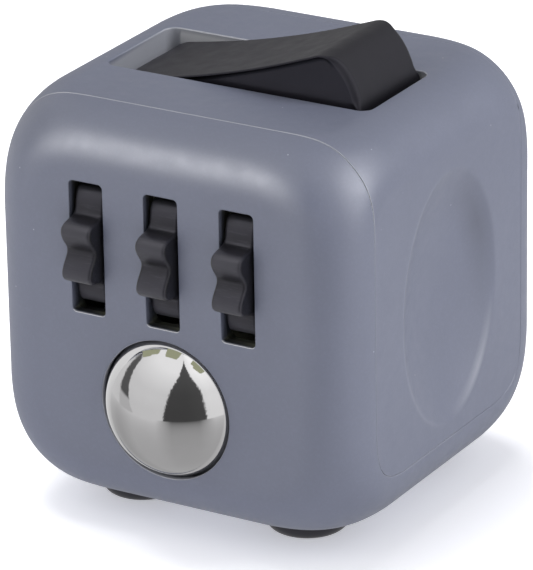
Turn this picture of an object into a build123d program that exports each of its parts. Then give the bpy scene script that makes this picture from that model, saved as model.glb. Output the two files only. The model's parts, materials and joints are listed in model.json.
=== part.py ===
from build123d import *
import math
import os

# Fidget cube. Millimetres, +Z up. X runs to the right along the front face,
# Y runs from the front face to the back face.
# The origin lies on the resting plane, at the tip of the centre click button,
# straight below the middle of the cube. Parts are laid out about the cube's
# middle and lifted by LIFT when they are written.
#   front  (-Y): three lobed wheels and the roller ball
#   top    (+Z): rocker switch
#   right  (+X): worry dish
#   left   (-X): spin dial
#   back   (+Y): glide joystick
#   bottom (-Z): five click buttons, which are also the feet
os.makedirs("parts", exist_ok=True)
SIDES = (-1, 1)

# fits
FIT = 0.02             # radial clearance of a fixed pin in its hole
RUN = 0.05             # running clearance

# casing
HALF = 33.0 / 2        # middle of the cube to a face
EDGE_R = 4.5           # edge rounding
CORNER_CORE_R = 19.64  # softens the eight corners a little more than the edges
WALL = 2.0
LAP_DEPTH = 1.1        # thickness of the wall's outer layer at the lap joint
LAP_W = 1.2            # overlap of the lap joint
BAND_Y = 11.9          # half width of the U-shaped top casing
LEG_Z = -12.0          # lower end of its two legs
LEG_R = 3.2            # rounding of the legs' lower corners
LAP_R = LEG_R + 0.8    # the same on the inner layer
SEAM = 0.04            # half of the seam gap
WALL_CUT = (-HALF - 1, -HALF + 3)   # span of a cut through a front or bottom wall
BUTTON_PROUD = 2.0     # how far the click buttons stand out of the bottom
LIFT = HALF + BUTTON_PROUD

# common screw
SCREW_R, SCREW_HEAD_R, SCREW_HEAD_T = 0.6, 1.2, 0.6
SCREW_HOLE_R = SCREW_R + FIT

# chassis faces and screw places
CHASSIS_X = 9.5
CHASSIS_FRONT, CHASSIS_BACK = -3.3, 8.2
CHASSIS_LOW, CHASSIS_TOP = -7.6, 6.0
ROCK_SCREW_X = 8.0
JOY_SCREW_X = 4.6
BRACKET_SCREW_X, BRACKET_SCREW_Z = 3.5, 3.5

# wheels
SLOT_PITCH = 6.82
SLOT_W = 3.034
SLOT_Z0, SLOT_Z1 = 0.07, 11.10
WHEEL_Y, WHEEL_Z = -13.46, 5.585
WHEEL_TIP, WHEEL_VALLEY = 5.2, 4.0
WHEEL_LOBES = 8
WHEEL_W = 2.7
AXLE_R = 0.7
BRACKET_Y0, BRACKET_Y1 = -7.8, -6.8
ARM_X0, ARM_X1 = 8.9, 10.3          # bracket arms, inner and outer side

# roller ball and the sliding block of its cup
BALL_R = 6.2
BALL_Y, BALL_Z = -13.64, -6.81
BALL_HOLE_R = 5.82
SLIDE_X = 3.5
SLIDE_Z0, SLIDE_Z1 = -6.5, -3.7

# rocker
OPEN_X, OPEN_Y, OPEN_R = 12.04, 5.11, 1.0
ROCK_Z = 12.5          # pivot height
ROCK_TILT = 15.0       # tilt at rest, right end up
ROCK_HALF_W = 4.85
ROCK_PIN_R = 0.8
ROCK_FLOOR = 7.0       # inside floor of the rocker housing

# worry dish: half axes at the face, and depth
DISH_Y, DISH_Z, DISH_DEPTH = 7.56, 10.66, 2.0
DISH_OFFSET = 0.80     # ellipsoid centre outside the face, as a share of its X half axis

# dial
DIAL_R, DIAL_PROUD, DIAL_HUB_R = 10.25, 2.4, 3.5
DIAL_SCREW_R = 0.7
RATCHET_X = -13.2      # inner face of the ratchet disc

# joystick
JOY_Y = 11.5
DOME_R, DOME_T = 7.4, 0.9
DOME_HALF_ANGLE = 64.0
JOY_PIN_R = 0.6
CAP_FRONT, CAP_FACE = 17.9, 19.9

# click buttons
BTN_PITCH = 7.7
BTN_R, BTN_HOLE_R, BTN_FLANGE_R, BTN_STEM_R = 3.5, 3.6, 4.2, 1.2
PLATE_Z0, PLATE_Z1 = -11.9, -10.9
POSTS = [(sx * 11.2, sy * 12.2) for sx in SIDES for sy in SIDES]
BUTTONS = {
    "front_left": (-BTN_PITCH, -BTN_PITCH),
    "front_right": (BTN_PITCH, -BTN_PITCH),
    "back_left": (-BTN_PITCH, BTN_PITCH),
    "back_right": (BTN_PITCH, BTN_PITCH),
    "centre": (0.0, 0.0),
}


# ---- helpers; the two ends of a span may come in either order ----
def box(x0, x1, y0, y1, z0, z1):
    middle = Pos((x0 + x1) / 2, (y0 + y1) / 2, (z0 + z1) / 2)
    return middle * Box(abs(x1 - x0), abs(y1 - y0), abs(z1 - z0))


def cyl_z(x, y, z0, z1, r):
    return Pos(x, y, (z0 + z1) / 2) * Cylinder(r, abs(z1 - z0))


def cyl_x(x0, x1, y, z, r):
    return Pos((x0 + x1) / 2, y, z) * Rot(0, 90, 0) * Cylinder(r, abs(x1 - x0))


def cyl_y(x, y0, y1, z, r):
    return Pos(x, (y0 + y1) / 2, z) * Rot(90, 0, 0) * Cylinder(r, abs(y1 - y0))


def ball(x, y, z, r):
    return Pos(x, y, z) * Sphere(r)


def round_along(solid, axis, r):
    """Fillet every edge parallel to the axis."""
    return fillet(solid.edges().filter_by(axis), r)


def layer(depth):
    """The cube's rounded outside, moved in by depth."""
    core = 2 * (HALF - EDGE_R)
    rounded = Box(core, core, core) & Sphere(CORNER_CORE_R)
    return offset(rounded, amount=EDGE_R - depth, kind=Kind.ARC)


def band(half_y, low_z, r):
    """Zone of the U-shaped casing: a bar along X with rounded lower edges."""
    bar = box(-30, 30, -half_y, half_y, low_z, 40)
    low = bar.edges().filter_by(Axis.X).sort_by(Axis.Z)[:2]
    return fillet(low, r)


def coil(r, wire_r, height, turns):
    """Compression spring standing on Z = 0, along +Z."""
    rise = height - 2 * wire_r
    path = Helix(pitch=rise / turns, height=rise, radius=r)
    section = Plane(origin=path @ 0, z_dir=path % 0) * Circle(wire_r)
    return Pos(0, 0, wire_r) * sweep(section, path=path)


def screw(length, r=SCREW_R, head_r=SCREW_HEAD_R, head_t=SCREW_HEAD_T):
    """Cross-slotted pan-head screw along -Z, underside of its head at Z = 0."""
    body = cyl_z(0, 0, -length, 0, r) + cyl_z(0, 0, 0, head_t, head_r)
    body = fillet(body.faces().sort_by(Axis.Z)[-1].edges(), head_t * 0.35)
    body -= Pos(0, 0, head_t) * Box(head_r * 1.2, 0.28, head_t * 0.9)
    body -= Pos(0, 0, head_t) * Box(0.28, head_r * 1.2, head_t * 0.9)
    return body


def write(name, *pieces):
    """Lift the pieces and write them as one STEP file."""
    solids = []
    for piece in pieces:
        solids += (Pos(0, 0, LIFT) * piece).solids()
    shape = solids[0] if len(solids) == 1 else Compound(children=solids)
    shape.label = name
    export_step(shape, "parts/" + name + ".step")


# ---- casings: each wall is an outer skin and an inner lining, lapped at the seam ----
middle_layer = layer(LAP_DEPTH)
skin = layer(0) - middle_layer
lining = middle_layer - layer(WALL)
room = layer(WALL + 0.05)            # space for the works, just clear of the walls

top_shell = (skin & band(BAND_Y - SEAM, LEG_Z + SEAM, LEG_R)) + (
    lining & band(BAND_Y + LAP_W - SEAM, LEG_Z - LAP_W + SEAM, LAP_R))
base_shell = (skin - band(BAND_Y + SEAM, LEG_Z - SEAM, LEG_R)) + (
    lining - band(BAND_Y + LAP_W + SEAM, LEG_Z - LAP_W - SEAM, LAP_R))

# rocker opening
opening = box(-OPEN_X, OPEN_X, -OPEN_Y, OPEN_Y, HALF - 3, HALF + 1)
top_shell -= round_along(opening, Axis.Z, OPEN_R)

# worry dish: a shallow oval bowl with a thickened wall behind it
dish_half_x = DISH_DEPTH / (1 - DISH_OFFSET)
dish_share = math.sqrt(1 - DISH_OFFSET ** 2)      # size at the face over full size
dish_cut = Pos(HALF + dish_half_x * DISH_OFFSET, 0, 0) * scale(
    Sphere(1), by=(dish_half_x, DISH_Y / dish_share, DISH_Z / dish_share))
boss = Pos(13.3, 0, 0) * Rot(0, 90, 0) * extrude(Ellipse(11.6, 8.6), 1.7)
boss &= layer(WALL - 0.3)
top_shell = (top_shell + boss) - dish_cut

# dial hole
top_shell -= cyl_x(-HALF - 1, -HALF + 4, 0, 0, DIAL_HUB_R + RUN)
write("top_shell", top_shell)

# wheel slots, each wider behind its lip
for k in (-1, 0, 1):
    x0, x1 = k * SLOT_PITCH - SLOT_W / 2, k * SLOT_PITCH + SLOT_W / 2
    base_shell -= round_along(box(x0, x1, *WALL_CUT, SLOT_Z0, SLOT_Z1), Axis.Y, 0.35)
    base_shell -= box(x0 - 0.4, x1 + 0.4, -HALF + 0.95, -HALF + 3, SLOT_Z0 - 0.3, SLOT_Z1 + 0.3)
# ball hole, then the joystick socket in the back wall
base_shell -= cyl_y(0, *WALL_CUT, BALL_Z, BALL_HOLE_R)
base_shell -= ball(0, BALL_Y, BALL_Z, BALL_R + 0.1)
base_shell -= ball(0, JOY_Y, 0, DOME_R + 0.1)
# button holes, and the drilled posts that carry the guide plate
for x, y in POSTS:
    base_shell += cyl_z(x, y, -HALF + 1.2, PLATE_Z0, 1.35)
for x, y in BUTTONS.values():
    base_shell -= cyl_z(x, y, *WALL_CUT, BTN_HOLE_R)
for x, y in POSTS:
    base_shell -= cyl_z(x, y, -HALF + 1.6, PLATE_Z0 + 1, SCREW_HOLE_R)
write("base_shell", base_shell)

# ---- chassis: a block with a rear pad, two front lugs and two feet ----
chassis = box(-CHASSIS_X, CHASSIS_X, CHASSIS_FRONT, 6.3, CHASSIS_LOW, CHASSIS_TOP)
chassis += box(-6, 6, 6.3, CHASSIS_BACK, -4, 4)
for s in SIDES:
    chassis += box(s * 2.2, s * 4.8, BRACKET_Y1, CHASSIS_FRONT, 1.5, 5.5)
    chassis += box(s * 7.5, s * CHASSIS_X, -2, 2, PLATE_Z1, CHASSIS_LOW)
chassis -= box(-7.9, 7.9, -1.7, 4.7, -9, 4.4)
# guide for the ball cup's sliding block
chassis -= box(-SLIDE_X - RUN, SLIDE_X + RUN, -4, -1, SLIDE_Z0 - RUN, SLIDE_Z1 + RUN)
for s in SIDES:
    chassis -= cyl_z(s * ROCK_SCREW_X, 0, 4.0, 7, SCREW_HOLE_R)
    chassis -= cyl_y(s * JOY_SCREW_X, 5.2, 9, 0, SCREW_HOLE_R)
    chassis -= cyl_y(s * BRACKET_SCREW_X, -7, -4.3, BRACKET_SCREW_Z, SCREW_HOLE_R)
write("chassis", chassis)

# ---- rocker housing ----
housing = box(-13.2, 13.2, -6.3, 6.3, CHASSIS_TOP, HALF - WALL - 0.01)
housing -= round_along(box(-12.3, 12.3, -OPEN_Y, OPEN_Y, ROCK_FLOOR, 20), Axis.Z, OPEN_R)
housing -= cyl_y(0, -8, 8, ROCK_Z, ROCK_PIN_R + FIT)
for s in SIDES:
    housing -= cyl_z(s * ROCK_SCREW_X, 0, 5, 8, SCREW_HOLE_R)
    housing -= ball(s * 1.4, 0, 7.9, 1.2)         # detent seat
write("rocker_housing", housing & room)
write("rocker_housing_screws",
      *[Pos(s * ROCK_SCREW_X, 0, ROCK_FLOOR) * screw(2.5) for s in SIDES])
write("rocker_pin", cyl_y(0, -6.25, 6.25, ROCK_Z, ROCK_PIN_R))

# ---- rocker: built level about its pivot, then tilted ----
# (x, z) of the top outline and of the sunk side panels, from the middle to the right end
CROWN = [(0.0, 5.10), (4.5, 5.22), (8.2, 5.50), (9.45, 5.56), (10.40, 5.25),
         (11.15, 4.35), (11.60, 3.20), (11.80, 2.00), (11.80, 0.60)]
PANEL = [(0.0, 4.05), (4.5, 4.16), (8.0, 4.40), (9.1, 4.42), (9.75, 4.15),
         (10.25, 3.55), (10.55, 2.75), (10.70, 1.9), (10.70, 1.2)]


def rocker_profile(right_half, base_x, base_z):
    """Face under the mirrored outline, closed by a straight base."""
    points = [(-x, z) for x, z in reversed(right_half[1:])] + right_half
    with BuildSketch(Plane.XZ) as sketch:
        with BuildLine():
            Spline(*points)
            Polyline(points[-1], (base_x, base_z), (-base_x, base_z), points[0])
        make_face()
    return sketch.sketch


rocker = Pos(0, ROCK_HALF_W, 0) * extrude(rocker_profile(CROWN, 11.3, -0.8),
                                          amount=2 * ROCK_HALF_W)
rim = [e for e in rocker.edges() if e.length > 20 and abs(e.center().Z) > 2]
rocker = fillet(rim, 0.5)
panel = rocker_profile(PANEL, 10.4, 0.2)
for s in SIDES:
    rocker -= Pos(0, s * (ROCK_HALF_W + 0.3) + 0.5, 0) * extrude(panel, amount=1.0)
rocker -= round_along(box(-10.2, 10.2, -3.3, 3.3, -2, 3.3), Axis.Y, 0.8)
# pivot barrel and plunger sleeve, with their bores
rocker += cyl_y(0, -3.4, 3.4, 0, 2.2)
rocker += cyl_z(0, 0, -4.2, 3.4, 1.9)
rocker -= cyl_y(0, -6, 6, 0, ROCK_PIN_R + RUN)
rocker -= cyl_z(0, 0, -5, -1.3, 1.0)

# round-nosed plunger
PLUNGER_R, NOSE_Z = 0.95, -4.45
plunger = cyl_z(0, 0, NOSE_Z, -3.2, PLUNGER_R) + (
    ball(0, 0, NOSE_Z, PLUNGER_R) & cyl_z(0, 0, NOSE_Z - PLUNGER_R, NOSE_Z, PLUNGER_R))
tilt = Pos(0, 0, ROCK_Z) * Rot(0, -ROCK_TILT, 0)
write("rocker", tilt * rocker)
write("rocker_plunger", tilt * plunger)
write("rocker_spring", tilt * (Pos(0, 0, -3.15) * coil(0.68, 0.15, 1.75, 3)))

# ---- wheels: a wavy outline with a valley facing the front ----
steps = 12 * WHEEL_LOBES
mean_r = (WHEEL_TIP + WHEEL_VALLEY) / 2
swing = (WHEEL_TIP - WHEEL_VALLEY) / 2
outline = []
for i in range(steps):
    angle = 2 * math.pi * i / steps
    radius = mean_r + swing * math.cos(WHEEL_LOBES * angle - math.pi)
    outline.append((-radius * math.cos(angle), radius * math.sin(angle)))
with BuildSketch(Plane.YZ) as wheel_sketch:
    with BuildLine():
        Spline(*outline, periodic=True)
    make_face()
wheel = extrude(wheel_sketch.sketch, amount=WHEEL_W / 2, both=True)
wheel = fillet([e for e in wheel.edges() if e.length > 15], 0.35)
wheel -= cyl_x(-3, 3, 0, 0, AXLE_R + RUN)
for place, k in (("left", -1), ("middle", 0), ("right", 1)):
    write("wheel_" + place, Pos(k * SLOT_PITCH, WHEEL_Y, WHEEL_Z) * wheel)

# axle, spacers beside the wheels, and split clips outside the bracket arms
write("wheel_axle", cyl_x(-11.1, 11.1, WHEEL_Y, WHEEL_Z, AXLE_R))
axle_bore = cyl_x(-12, 12, WHEEL_Y, WHEEL_Z, AXLE_R + FIT)
clear = WHEEL_W / 2 + 0.08           # wheel centre to the end of a spacer
spans = [(clear, SLOT_PITCH - clear), (SLOT_PITCH + clear, ARM_X0 - RUN)]
write("axle_spacers", *[cyl_x(s * x0, s * x1, WHEEL_Y, WHEEL_Z, 0.98) - axle_bore
                        for s in SIDES for x0, x1 in spans])
clip_x = ARM_X1 + RUN
clip_split = box(-12, 12, WHEEL_Y - 0.3, WHEEL_Y + 0.3, WHEEL_Z, WHEEL_Z + 2)
write("axle_clips", *[cyl_x(s * clip_x, s * (clip_x + 0.4), WHEEL_Y, WHEEL_Z, 0.99)
                      - axle_bore - clip_split for s in SIDES])

# bracket: a plate with two arms
bracket = box(-ARM_X1, ARM_X1, BRACKET_Y0, BRACKET_Y1, 1.2, 9.6)
for s in SIDES:
    bracket += box(s * ARM_X0, s * ARM_X1, -14.44, BRACKET_Y0, 3.6, 7.6)
bracket -= axle_bore
for s in SIDES:
    bracket -= cyl_y(s * BRACKET_SCREW_X, -9, -6, BRACKET_SCREW_Z, SCREW_HOLE_R)
write("wheel_bracket", bracket & room)
write("bracket_screws", *[Pos(s * BRACKET_SCREW_X, BRACKET_Y0, BRACKET_SCREW_Z)
                          * Rot(90, 0, 0) * screw(2.9) for s in SIDES])

# detent spring: a comb with one beaded tooth per wheel
comb_y = (BRACKET_Y0 - 0.19, BRACKET_Y0 - 0.01)
comb = box(-8.2, 8.2, *comb_y, 7.6, 9.6)
for k in (-1, 0, 1):
    x0, x1 = k * SLOT_PITCH - 0.9, k * SLOT_PITCH + 0.9
    comb += box(x0, x1, *comb_y, 4.6, 7.6)
    comb += cyl_x(x0, x1, -7.96, 5.1, 0.2)
write("wheel_detent_spring", comb - box(-9, 9, BRACKET_Y0, -7, 3, 11))

# ---- roller ball: race and cup behind it, and a pad round the sliding block ----
write("ball", ball(0, BALL_Y, BALL_Z, BALL_R))
race = cyl_y(0, -10, -7.25, BALL_Z, 4.2) - cyl_y(0, -11, -6, BALL_Z, 2.4)
write("ball_race", race - ball(0, BALL_Y, BALL_Z, BALL_R + RUN))
cup = cyl_y(0, -10.4, -6.2, BALL_Z, 4.9) - cyl_y(0, -12, -7.2, BALL_Z, 4.25)
cup -= ball(0, BALL_Y, BALL_Z, BALL_R + 0.12)
cup += box(-SLIDE_X, SLIDE_X, -6.2, -1.5, SLIDE_Z0, SLIDE_Z1)
write("ball_cup", cup)
pad = round_along(box(-4.6, 4.6, -5.3, CHASSIS_FRONT - 0.01, -7.5, -2.7), Axis.Y, 1.0)
pad -= box(-SLIDE_X - 0.2, SLIDE_X + 0.2, -7, -2, SLIDE_Z0 - 0.2, SLIDE_Z1 + 0.2)
write("ball_return_pad", pad)

# ---- dial: dished face, ribbed grip, finger hollow, hub and square drive ----
face_x = -HALF - DIAL_PROUD
grip_x = -HALF - 1.4                 # outer end of the finger grip
with BuildSketch(Plane.XY) as dial_sketch:        # half section, revolved about X
    with BuildLine():
        Line((grip_x, 0), (face_x + 0.7, 0))
        ThreePointArc((face_x + 0.7, 0), (face_x + 0.52, 3.9), (face_x, 7.6))
        Line((face_x, 7.6), (face_x, DIAL_R - 0.8))
        ThreePointArc((face_x, DIAL_R - 0.8), (face_x + 0.234, DIAL_R - 0.234),
                      (face_x + 0.8, DIAL_R))
        Polyline((face_x + 0.8, DIAL_R), (grip_x, DIAL_R), (grip_x, 0))
    make_face()
dial = revolve(dial_sketch.sketch, Axis.X)
with BuildSketch(Plane.YZ.offset(-HALF - 0.1)) as grip_sketch:
    Circle(DIAL_R)
    with PolarLocations(DIAL_R * 1.02, 36, start_angle=4.3):
        Circle(0.42, mode=Mode.SUBTRACT)
dial += extrude(grip_sketch.sketch, amount=-1.3)
dial -= ball(face_x - 2.0, 0, 6.4, 3.0)
dial += cyl_x(-HALF - 0.2, -14.2, 0, 0, DIAL_HUB_R)
dial += box(-14.2, RATCHET_X, -1.3, 1.3, -1.3, 1.3)
dial -= cyl_x(-16.8, -12, 0, 0, DIAL_SCREW_R + FIT)
write("dial", dial)

# notched ratchet disc on the square drive
ratchet = cyl_x(-14.15, RATCHET_X, 0, 0, 5.0) - box(-16, -12, -1.32, 1.32, -1.32, 1.32)
for i in range(24):
    angle = math.radians(15 * i)
    ratchet -= cyl_x(-16, -12, 5.1 * math.cos(angle), 5.1 * math.sin(angle), 0.38)
write("dial_ratchet", ratchet)
dial_screw = screw(3.2, r=DIAL_SCREW_R, head_r=2.2, head_t=0.8)
write("dial_screw", Pos(RATCHET_X + 0.02, 0, 0) * Rot(0, 90, 0) * dial_screw)

# click spring: a blade with a bead under the ratchet, and a tail up the chassis
blade_x, blade_z, tail_y = (-14.0, -13.4), (-5.7, -5.45), (-3.2, -2.2)
tail_x = -CHASSIS_X - 0.01
click = box(*blade_x, -3.2, 3.2, *blade_z) + cyl_x(*blade_x, 0, -5.45, 0.35)
click += box(-14.0, tail_x, *tail_y, *blade_z) + box(tail_x - 0.3, tail_x, *tail_y, -5.7, -3.5)
write("dial_click_spring", click)


# ---- joystick ----
def dome_point(r, degrees):
    """Point on the dome's section, at an angle from its +Y axis."""
    angle = math.radians(degrees)
    return (r * math.sin(angle), JOY_Y + r * math.cos(angle))


inner_r = DOME_R - DOME_T
dome_out = [dome_point(DOME_R, DOME_HALF_ANGLE * f) for f in (0, 0.5, 1)]
dome_in = [dome_point(inner_r, DOME_HALF_ANGLE * f) for f in (1, 0.5, 0)]
with BuildSketch(Plane.XY) as dome_sketch:        # half section, revolved about Y
    with BuildLine():
        Line(dome_in[-1], dome_out[0])
        ThreePointArc(*dome_out)
        Line(dome_out[-1], dome_in[0])
        ThreePointArc(*dome_in)
    make_face()
dome = revolve(dome_sketch.sketch, Axis.Y)
dome += cyl_y(0, JOY_Y, JOY_Y + DOME_R - 0.4, 0, 1.6)
dome += cyl_x(-2.0, 2.0, JOY_Y, 0, 1.4)
dome -= cyl_x(-4, 4, JOY_Y, 0, JOY_PIN_R + RUN)
write("joystick_dome", dome)

# cap: a disc seated on the dome, with a shallow round hollow in its face
cap = cyl_y(0, CAP_FRONT, CAP_FACE, 0, 4.6)
cap = fillet(cap.edges().sort_by(Axis.Y)[-1], 0.6)
cap = fillet(cap.edges().sort_by(Axis.Y)[0], 0.4)
cap -= ball(0, JOY_Y, 0, DOME_R + 0.01)
cap -= ball(0, CAP_FACE + 14.4, 0, 15.0)
write("joystick_cap", cap)

# gimbal ring: the stick swings on pins along X, the ring on pins along Z
ring = cyl_y(0, 10.7, 12.3, 0, 5.6) - cyl_y(0, 10, 13, 0, 4.2)
ring -= cyl_x(-8, 8, JOY_Y, 0, JOY_PIN_R + FIT)
ring -= cyl_z(0, JOY_Y, -8, 8, JOY_PIN_R + RUN)
write("joystick_ring", ring)
write("joystick_stick_pins", *[cyl_x(s * 1.2, s * 5.5, JOY_Y, 0, JOY_PIN_R) for s in SIDES])
write("joystick_ring_pins", *[cyl_z(0, JOY_Y, s * 4.4, s * 8.4, JOY_PIN_R) for s in SIDES])

# housing: a round pan, open to the back
pan = cyl_y(0, CHASSIS_BACK + 0.01, HALF - WALL - 0.06, 0, 8.75) - cyl_y(0, 9.0, 20, 0, 7.65)
pan -= cyl_z(0, JOY_Y, -12, 12, JOY_PIN_R + FIT)
for s in SIDES:
    pan -= cyl_y(s * JOY_SCREW_X, 7, 11, 0, SCREW_HOLE_R)
    pan -= cyl_y(s * JOY_SCREW_X, 8.58, 11, 0, SCREW_HEAD_R + RUN)
write("joystick_housing", pan & room)
write("joystick_screws", *[Pos(s * JOY_SCREW_X, 8.6, 0) * Rot(-90, 0, 0)
                           * screw(2.6, head_t=0.5) for s in SIDES])
write("joystick_return_pad",
      cyl_y(0, 9.01, 9.7, 0, 3.2) - ball(0, JOY_Y, 0, 2.6) - cyl_y(0, 8.5, 11, 0, 0.9))

# ---- click buttons: hollow cup with a flange and a central stem ----
button = cyl_z(0, 0, -HALF - BUTTON_PROUD, -14.0, BTN_R)
button = fillet(button.edges().sort_by(Axis.Z)[0], 0.85)
button += cyl_z(0, 0, -HALF + WALL + 0.02, -13.5, BTN_FLANGE_R)
button -= cyl_z(0, 0, -17.1, -13, 2.9)
button += cyl_z(0, 0, -17.5, -10.6, BTN_STEM_R)
spring = Pos(0, 0, -17.08) * coil(2.1, 0.22, 5.1, 4)
for place, (x, y) in BUTTONS.items():
    write("button_" + place, Pos(x, y, 0) * button)
    write("button_spring_" + place, Pos(x, y, 0) * spring)

# guide plate, notched at the front
plate = round_along(box(-12.4, 12.4, -13.4, 13.4, PLATE_Z0, PLATE_Z1), Axis.Z, 1.2)
plate -= box(-5.1, 5.1, -20, -8.3, -13, -9) + box(-3.3, 3.3, -9, -5.2, -13, -9)
for x, y in BUTTONS.values():
    plate -= cyl_z(x, y, -13, -9, BTN_STEM_R + RUN)
for x, y in POSTS:
    plate -= cyl_z(x, y, -13, -9, SCREW_R + RUN)
write("button_guide_plate", plate)
write("guide_plate_screws", *[Pos(x, y, PLATE_Z1) * screw(3.2, head_r=1.1) for x, y in POSTS])

# click domes: flanged caps over the stems
domes = []
for x, y in BUTTONS.values():
    flange = cyl_z(x, y, PLATE_Z1, -10.5, 3.3)
    crown = cyl_z(x, y, PLATE_Z1, -8.8, 2.7)
    flange += fillet(crown.edges().sort_by(Axis.Z)[-1], 0.6)
    domes.append(flange - cyl_z(x, y, PLATE_Z1 - 1, -9.2, 2.2))
write("click_domes", *domes)
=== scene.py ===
"""A cube-shaped hand controller on a white table under soft studio light.

The cube stands square to the axes. Front (-Y): three lobed wheels in slots above a steel ball.
Left (-X): spin dial. Right (+X): oval dish. Back (+Y): joystick. Top (+Z): rocker.
Bottom (-Z): five buttons. Shapes are in millimetres from the cube's middle; the scene is in metres.
"""
import bpy
import json
import math
from collections import Counter
from itertools import product

import numpy as np
from mathutils import Vector, Matrix
from mathutils.geometry import delaunay_2d_cdt

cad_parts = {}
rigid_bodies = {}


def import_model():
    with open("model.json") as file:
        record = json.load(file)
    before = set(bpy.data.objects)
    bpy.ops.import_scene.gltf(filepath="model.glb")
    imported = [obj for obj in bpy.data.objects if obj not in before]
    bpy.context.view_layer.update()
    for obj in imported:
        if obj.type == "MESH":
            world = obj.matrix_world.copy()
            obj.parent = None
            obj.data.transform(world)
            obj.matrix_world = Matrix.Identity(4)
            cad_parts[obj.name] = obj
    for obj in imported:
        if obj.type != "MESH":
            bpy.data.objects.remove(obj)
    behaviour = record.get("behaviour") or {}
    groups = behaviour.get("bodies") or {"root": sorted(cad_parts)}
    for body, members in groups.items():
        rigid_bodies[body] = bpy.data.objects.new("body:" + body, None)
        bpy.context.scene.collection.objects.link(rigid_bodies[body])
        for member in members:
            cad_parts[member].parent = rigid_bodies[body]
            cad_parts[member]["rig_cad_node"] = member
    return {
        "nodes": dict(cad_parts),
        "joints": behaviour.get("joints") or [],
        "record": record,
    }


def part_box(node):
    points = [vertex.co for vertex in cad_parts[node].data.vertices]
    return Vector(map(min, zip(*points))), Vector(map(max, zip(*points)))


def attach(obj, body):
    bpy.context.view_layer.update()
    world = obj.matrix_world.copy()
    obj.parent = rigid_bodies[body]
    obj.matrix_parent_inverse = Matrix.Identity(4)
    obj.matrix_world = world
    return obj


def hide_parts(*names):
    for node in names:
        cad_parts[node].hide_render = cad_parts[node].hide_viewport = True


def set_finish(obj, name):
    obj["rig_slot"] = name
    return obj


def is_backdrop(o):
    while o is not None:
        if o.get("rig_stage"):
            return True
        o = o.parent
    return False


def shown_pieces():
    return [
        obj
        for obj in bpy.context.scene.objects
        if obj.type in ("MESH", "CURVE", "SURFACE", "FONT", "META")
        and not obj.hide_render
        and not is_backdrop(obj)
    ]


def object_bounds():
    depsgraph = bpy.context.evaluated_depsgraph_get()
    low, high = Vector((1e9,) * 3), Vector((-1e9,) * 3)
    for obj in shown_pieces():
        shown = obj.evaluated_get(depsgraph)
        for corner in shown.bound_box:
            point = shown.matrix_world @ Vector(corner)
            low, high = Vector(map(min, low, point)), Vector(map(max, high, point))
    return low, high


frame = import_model()
cad_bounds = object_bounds()

MM = 0.001
shell_low, shell_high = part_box("base_shell")
MIDDLE = (shell_low + shell_high) / 2


def joint_at(name):
    """A joint's place in millimetres from the cube's middle."""
    place = next(j for j in frame["joints"] if j["name"] == name)["pos_m"]
    return np.array([(place[i] - MIDDLE[i]) / MM for i in range(3)])


# ------------------------------------------------------------- dimensions ----
# The case is a soft-cornered cube core grown by the edge radius.
CORE = 12.0             # half size of the core
EDGE_R = 4.5            # radius of the rounded edges
HALF = CORE + EDGE_R    # half size of the case
STRAIGHT = 7.5          # half length of the straight run of each edge
POWER = 7               # exponent of the core's corners
CORE_LEVEL = 2.0 + (STRAIGHT / CORE) ** POWER
WALL = 2.0

EDGE_STEPS = 16         # across a rounded edge
ARC_STEPS = 10          # round the soft corner of a flat face
SIDE_STEPS = 8          # along the straight run
CORNER_RINGS = 16       # from a corner patch's rim to its tip
LIP_STEPS = 4           # round the lip of an opening

ROCKER_OPENING = (12.04, 5.11)          # half sizes along X and Y
DIAL_HOLE_R = 3.55
SLOT_WIDTH, SLOT_LOW, SLOT_HIGH = 3.034, 0.07, 11.10
SLOT_PITCH = 6.82
BALL = joint_at("ball_roll")
BALL_R = 6.2
BALL_GAP = 0.1
BALL_OPENING_R = 5.82
STICK_OPENING_R = 5.59
STICK_SOCKET_R, STICK_SOCKET_Y = 7.5, 11.5
BUTTON_HOLE_R = 3.6
BUTTON_OFF = 7.7
BUTTONS = {
    "button_front_left": (-BUTTON_OFF, -BUTTON_OFF),
    "button_front_right": (BUTTON_OFF, -BUTTON_OFF),
    "button_back_left": (-BUTTON_OFF, BUTTON_OFF),
    "button_back_right": (BUTTON_OFF, BUTTON_OFF),
    "button_centre": (0, 0),
}

DISH_HALF_Y, DISH_HALF_Z, DISH_DEPTH = 7.56, 10.66, 2.0
DISH_REACH = 1.09       # the bowl runs out at this multiple of its outline
DISH_SOFTNESS = 0.035
DISH_RINGS = (1.06, 1.035, 1.02, 1.01, 1.0, 0.99, 0.98, 0.97, 0.94, 0.9,
              0.85, 0.78, 0.7, 0.6, 0.5, 0.4, 0.3, 0.2, 0.1)


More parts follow.
